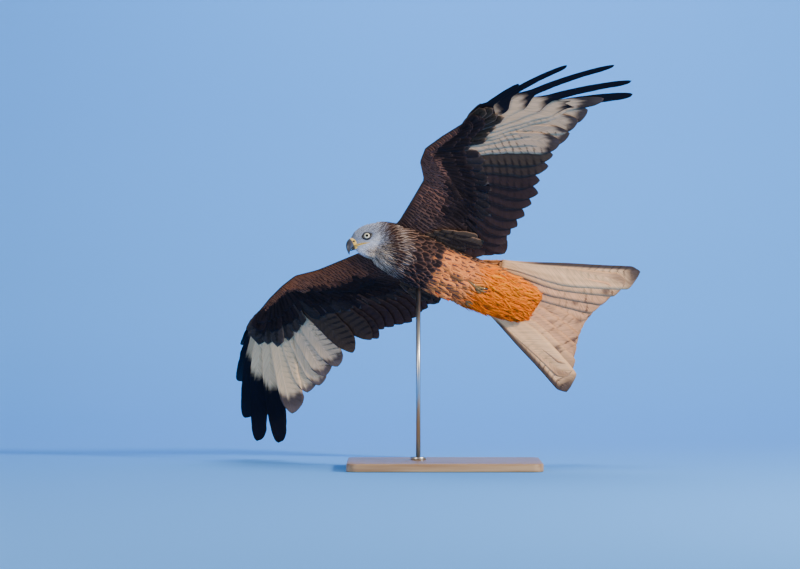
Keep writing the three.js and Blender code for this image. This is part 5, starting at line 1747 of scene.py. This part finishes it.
def turnedPiece(name, profile, around, material, hides):
    shape = bmesh.new()
    x, y = stand["rodAt"]
    points = [shape.verts.new((x / 1000 + radius / 1000, y / 1000, height / 1000))
              for radius, height in profile]
    edges = [shape.edges.new(pair) for pair in zip(points, points[1:])]
    bmesh.ops.spin(shape, geom=points + edges, cent=(x / 1000, y / 1000, 0), axis=(0, 0, 1), dvec=(0, 0, 0),
                   angle=2 * math.pi, steps=around, use_merge=True, use_duplicate=False)
    return addObject(name, finishShape(shape, name), [material], hides)


def standPieces():
    wood, tree, shader = newMaterial("oiled wood", 0.42, stand["wood"])
    stretch = node(tree, "ShaderNodeMapping")
    stretch.inputs["Scale"].default_value = (3, 60, 60)
    feed(tree, stretch.inputs["Vector"], objectPlace(tree))
    grain = ramp(tree, noise(tree, stretch.outputs[0], 1.6, 4), 0.3, 0.7)
    feed(tree, shader.inputs["Base Color"], blend(tree, grain, stand["darkGrain"], stand["paleGrain"]))
    steel, tree, shader = newMaterial("brushed steel", 0.3, stand["steel"])
    shader.inputs["Metallic"].default_value = 1.0
    shape = bmesh.new()
    size = Matrix.Diagonal((stand["length"] / 1000, stand["width"] / 1000, stand["height"] / 1000, 1))
    bmesh.ops.create_cube(shape, size=1, matrix=Matrix.Translation((0, 0, stand["height"] / 2000)) @ size)
    upright = [edge for edge in shape.edges if abs(edge.verts[0].co.z - edge.verts[1].co.z) > 0.001]
    bmesh.ops.bevel(shape, geom=upright, offset=stand["corner"] / 1000, affect="EDGES", segments=8,
                    profile=0.5, material=-1)
    rims = [edge for edge in shape.edges if abs(edge.verts[0].co.z - edge.verts[1].co.z) < 1e-6
            and len({round(face.normal.z) for face in edge.link_faces}) == 2]
    bmesh.ops.bevel(shape, geom=rims, offset=stand["edge"] / 1000, affect="EDGES", segments=4, profile=0.5,
                    material=-1)
    addObject("wooden_base", finishShape(shape, "base"), [wood], ["stand_base"])
    low, seam, radius, rod = stand["height"] + stand["seam"], stand["seam"], stand["collar"], stand["rod"]
    high = low + stand["collarHeight"]
    turnedPiece("rod_collar", [(0, low), (radius - 0.5, low), (radius, low + 0.5), (radius, high - 1.6),
                               (radius - 0.5, high - 0.4), (radius - 1.6, high), (0, high)], 64, steel,
                ["stand_collar"])
    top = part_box("stand_rod")[1].z * 1000
    turnedPiece("steel_rod", [(0, high + seam), (rod, high + seam), (rod, top), (0, top)], 32, steel,
                ["stand_rod"])


# Floor, backdrop, light and camera

room = {
    "paper": (0.095, 0.40, 1.0), "halfWidth": 6,
    "cove": [(-9.5, 0), (1.2, 0), (1.7, 0.04), (2.1, 0.16), (2.4, 0.4), (2.6, 0.9), (2.7, 2), (2.7, 6)],
    # name, place, what it points to where that isn't the bird, size, power and colour
    "lights": [("key", (3.4, -2.6, 1.9), None, 0.5, 300, (1.0, 0.94, 0.85)),
               ("fill", (-2.6, -3.8, 0.9), None, 2.4, 66, (1.0, 0.95, 0.90)),
               ("backdrop", (0.0, 1.3, 2.3), (0, 2.7, 1.6), 1.6, 16, (0.45, 0.72, 1.0)),
               ("top", (0.0, 0.6, 3.4), None, 2.0, 50, (0.95, 0.97, 1.0))],
    "air": (1.0, 0.95, 0.92, 1), "airStrength": 0.32,
    "lens": 165.9, "sensor": 36, "camera": (-73.6, -8000, -41.6),
}


def studio():
    shape = bmesh.new()
    points = [shape.verts.new((-room["halfWidth"], y, z)) for y, z in room["cove"]]
    edges = [shape.edges.new(pair) for pair in zip(points, points[1:])]
    grown = bmesh.ops.extrude_edge_only(shape, edges=edges)["geom"]
    bmesh.ops.translate(shape, verts=[item for item in grown if isinstance(item, bmesh.types.BMVert)],
                        vec=(2 * room["halfWidth"], 0, 0))
    shape.normal_update()
    if min(shape.faces, key=lambda face: face.calc_center_median().y).normal.z < 0:
        bmesh.ops.reverse_faces(shape, faces=shape.faces)
    cove = link("cove", finishShape(shape, "cove", False))
    # the paper is seen and lit from its front only, so that the back of the bird can be looked at through it
    paper, tree, shader = newMaterial("pale paper", 0.9, room["paper"])
    side = node(tree, "ShaderNodeNewGeometry").outputs["Backfacing"]
    feed(tree, shader.inputs["Alpha"], calc(tree, "SUBTRACT", 1.0, side))
    cove.data.materials.append(paper)


def lighting():
    for name, place, target, size, power, colour in room["lights"]:
        data = bpy.data.lights.new(name, "AREA")
        data.shape, data.size, data.energy, data.color = "DISK", size, power, colour
        lamp = link(name, data)
        lamp.location = place
        lamp.visible_camera = False
        aim = Vector(target or birdCentre / 1000) - Vector(place)
        lamp.rotation_euler = aim.to_track_quat("-Z", "Y").to_euler()
    world = bpy.data.worlds.new("room")
    bpy.context.scene.world = world
    world.use_nodes = True
    background = world.node_tree.nodes["Background"]
    background.inputs["Color"].default_value = room["air"]
    background.inputs["Strength"].default_value = room["airStrength"]


def cameraView():
    data = bpy.data.cameras.new("view")
    data.lens, data.sensor_width, data.clip_end = room["lens"], room["sensor"], 60
    eye = link("view", data)
    eye.location = (birdCentre + np.array(room["camera"])) / 1000
    eye.rotation_euler = (math.radians(90), 0, 0)
    bpy.context.scene.camera = eye


# The skin carries the coat's colours darkened: painted shade deep between the feathers
skinTone = coatStyle(skinPoints, readPoints(skinMesh, "normal") @ birdAxes.T)["tone"]
setPointColour(skinMesh, "tone", skinTone * coat["paintedGapShade"])
addObject("skin", skinMesh, [downPaint], ["torso", "neck", "head"])
bodyCoat()
billPieces()
eyePieces()
feetPieces()
print("body made")
for sideName, wing in wings.items():
    wingSkin(wing, f"wing_skin_{sideName}", downPaint)
    flightFeathers(sideName)
    wingCoverts(sideName)
    pitFeathers(sideName)
    shoulderFeathers(sideName)
print("wings made")
tailFeathers()
tailCoverts()
print("tail made")
standPieces()
studio()
lighting()
cameraView()
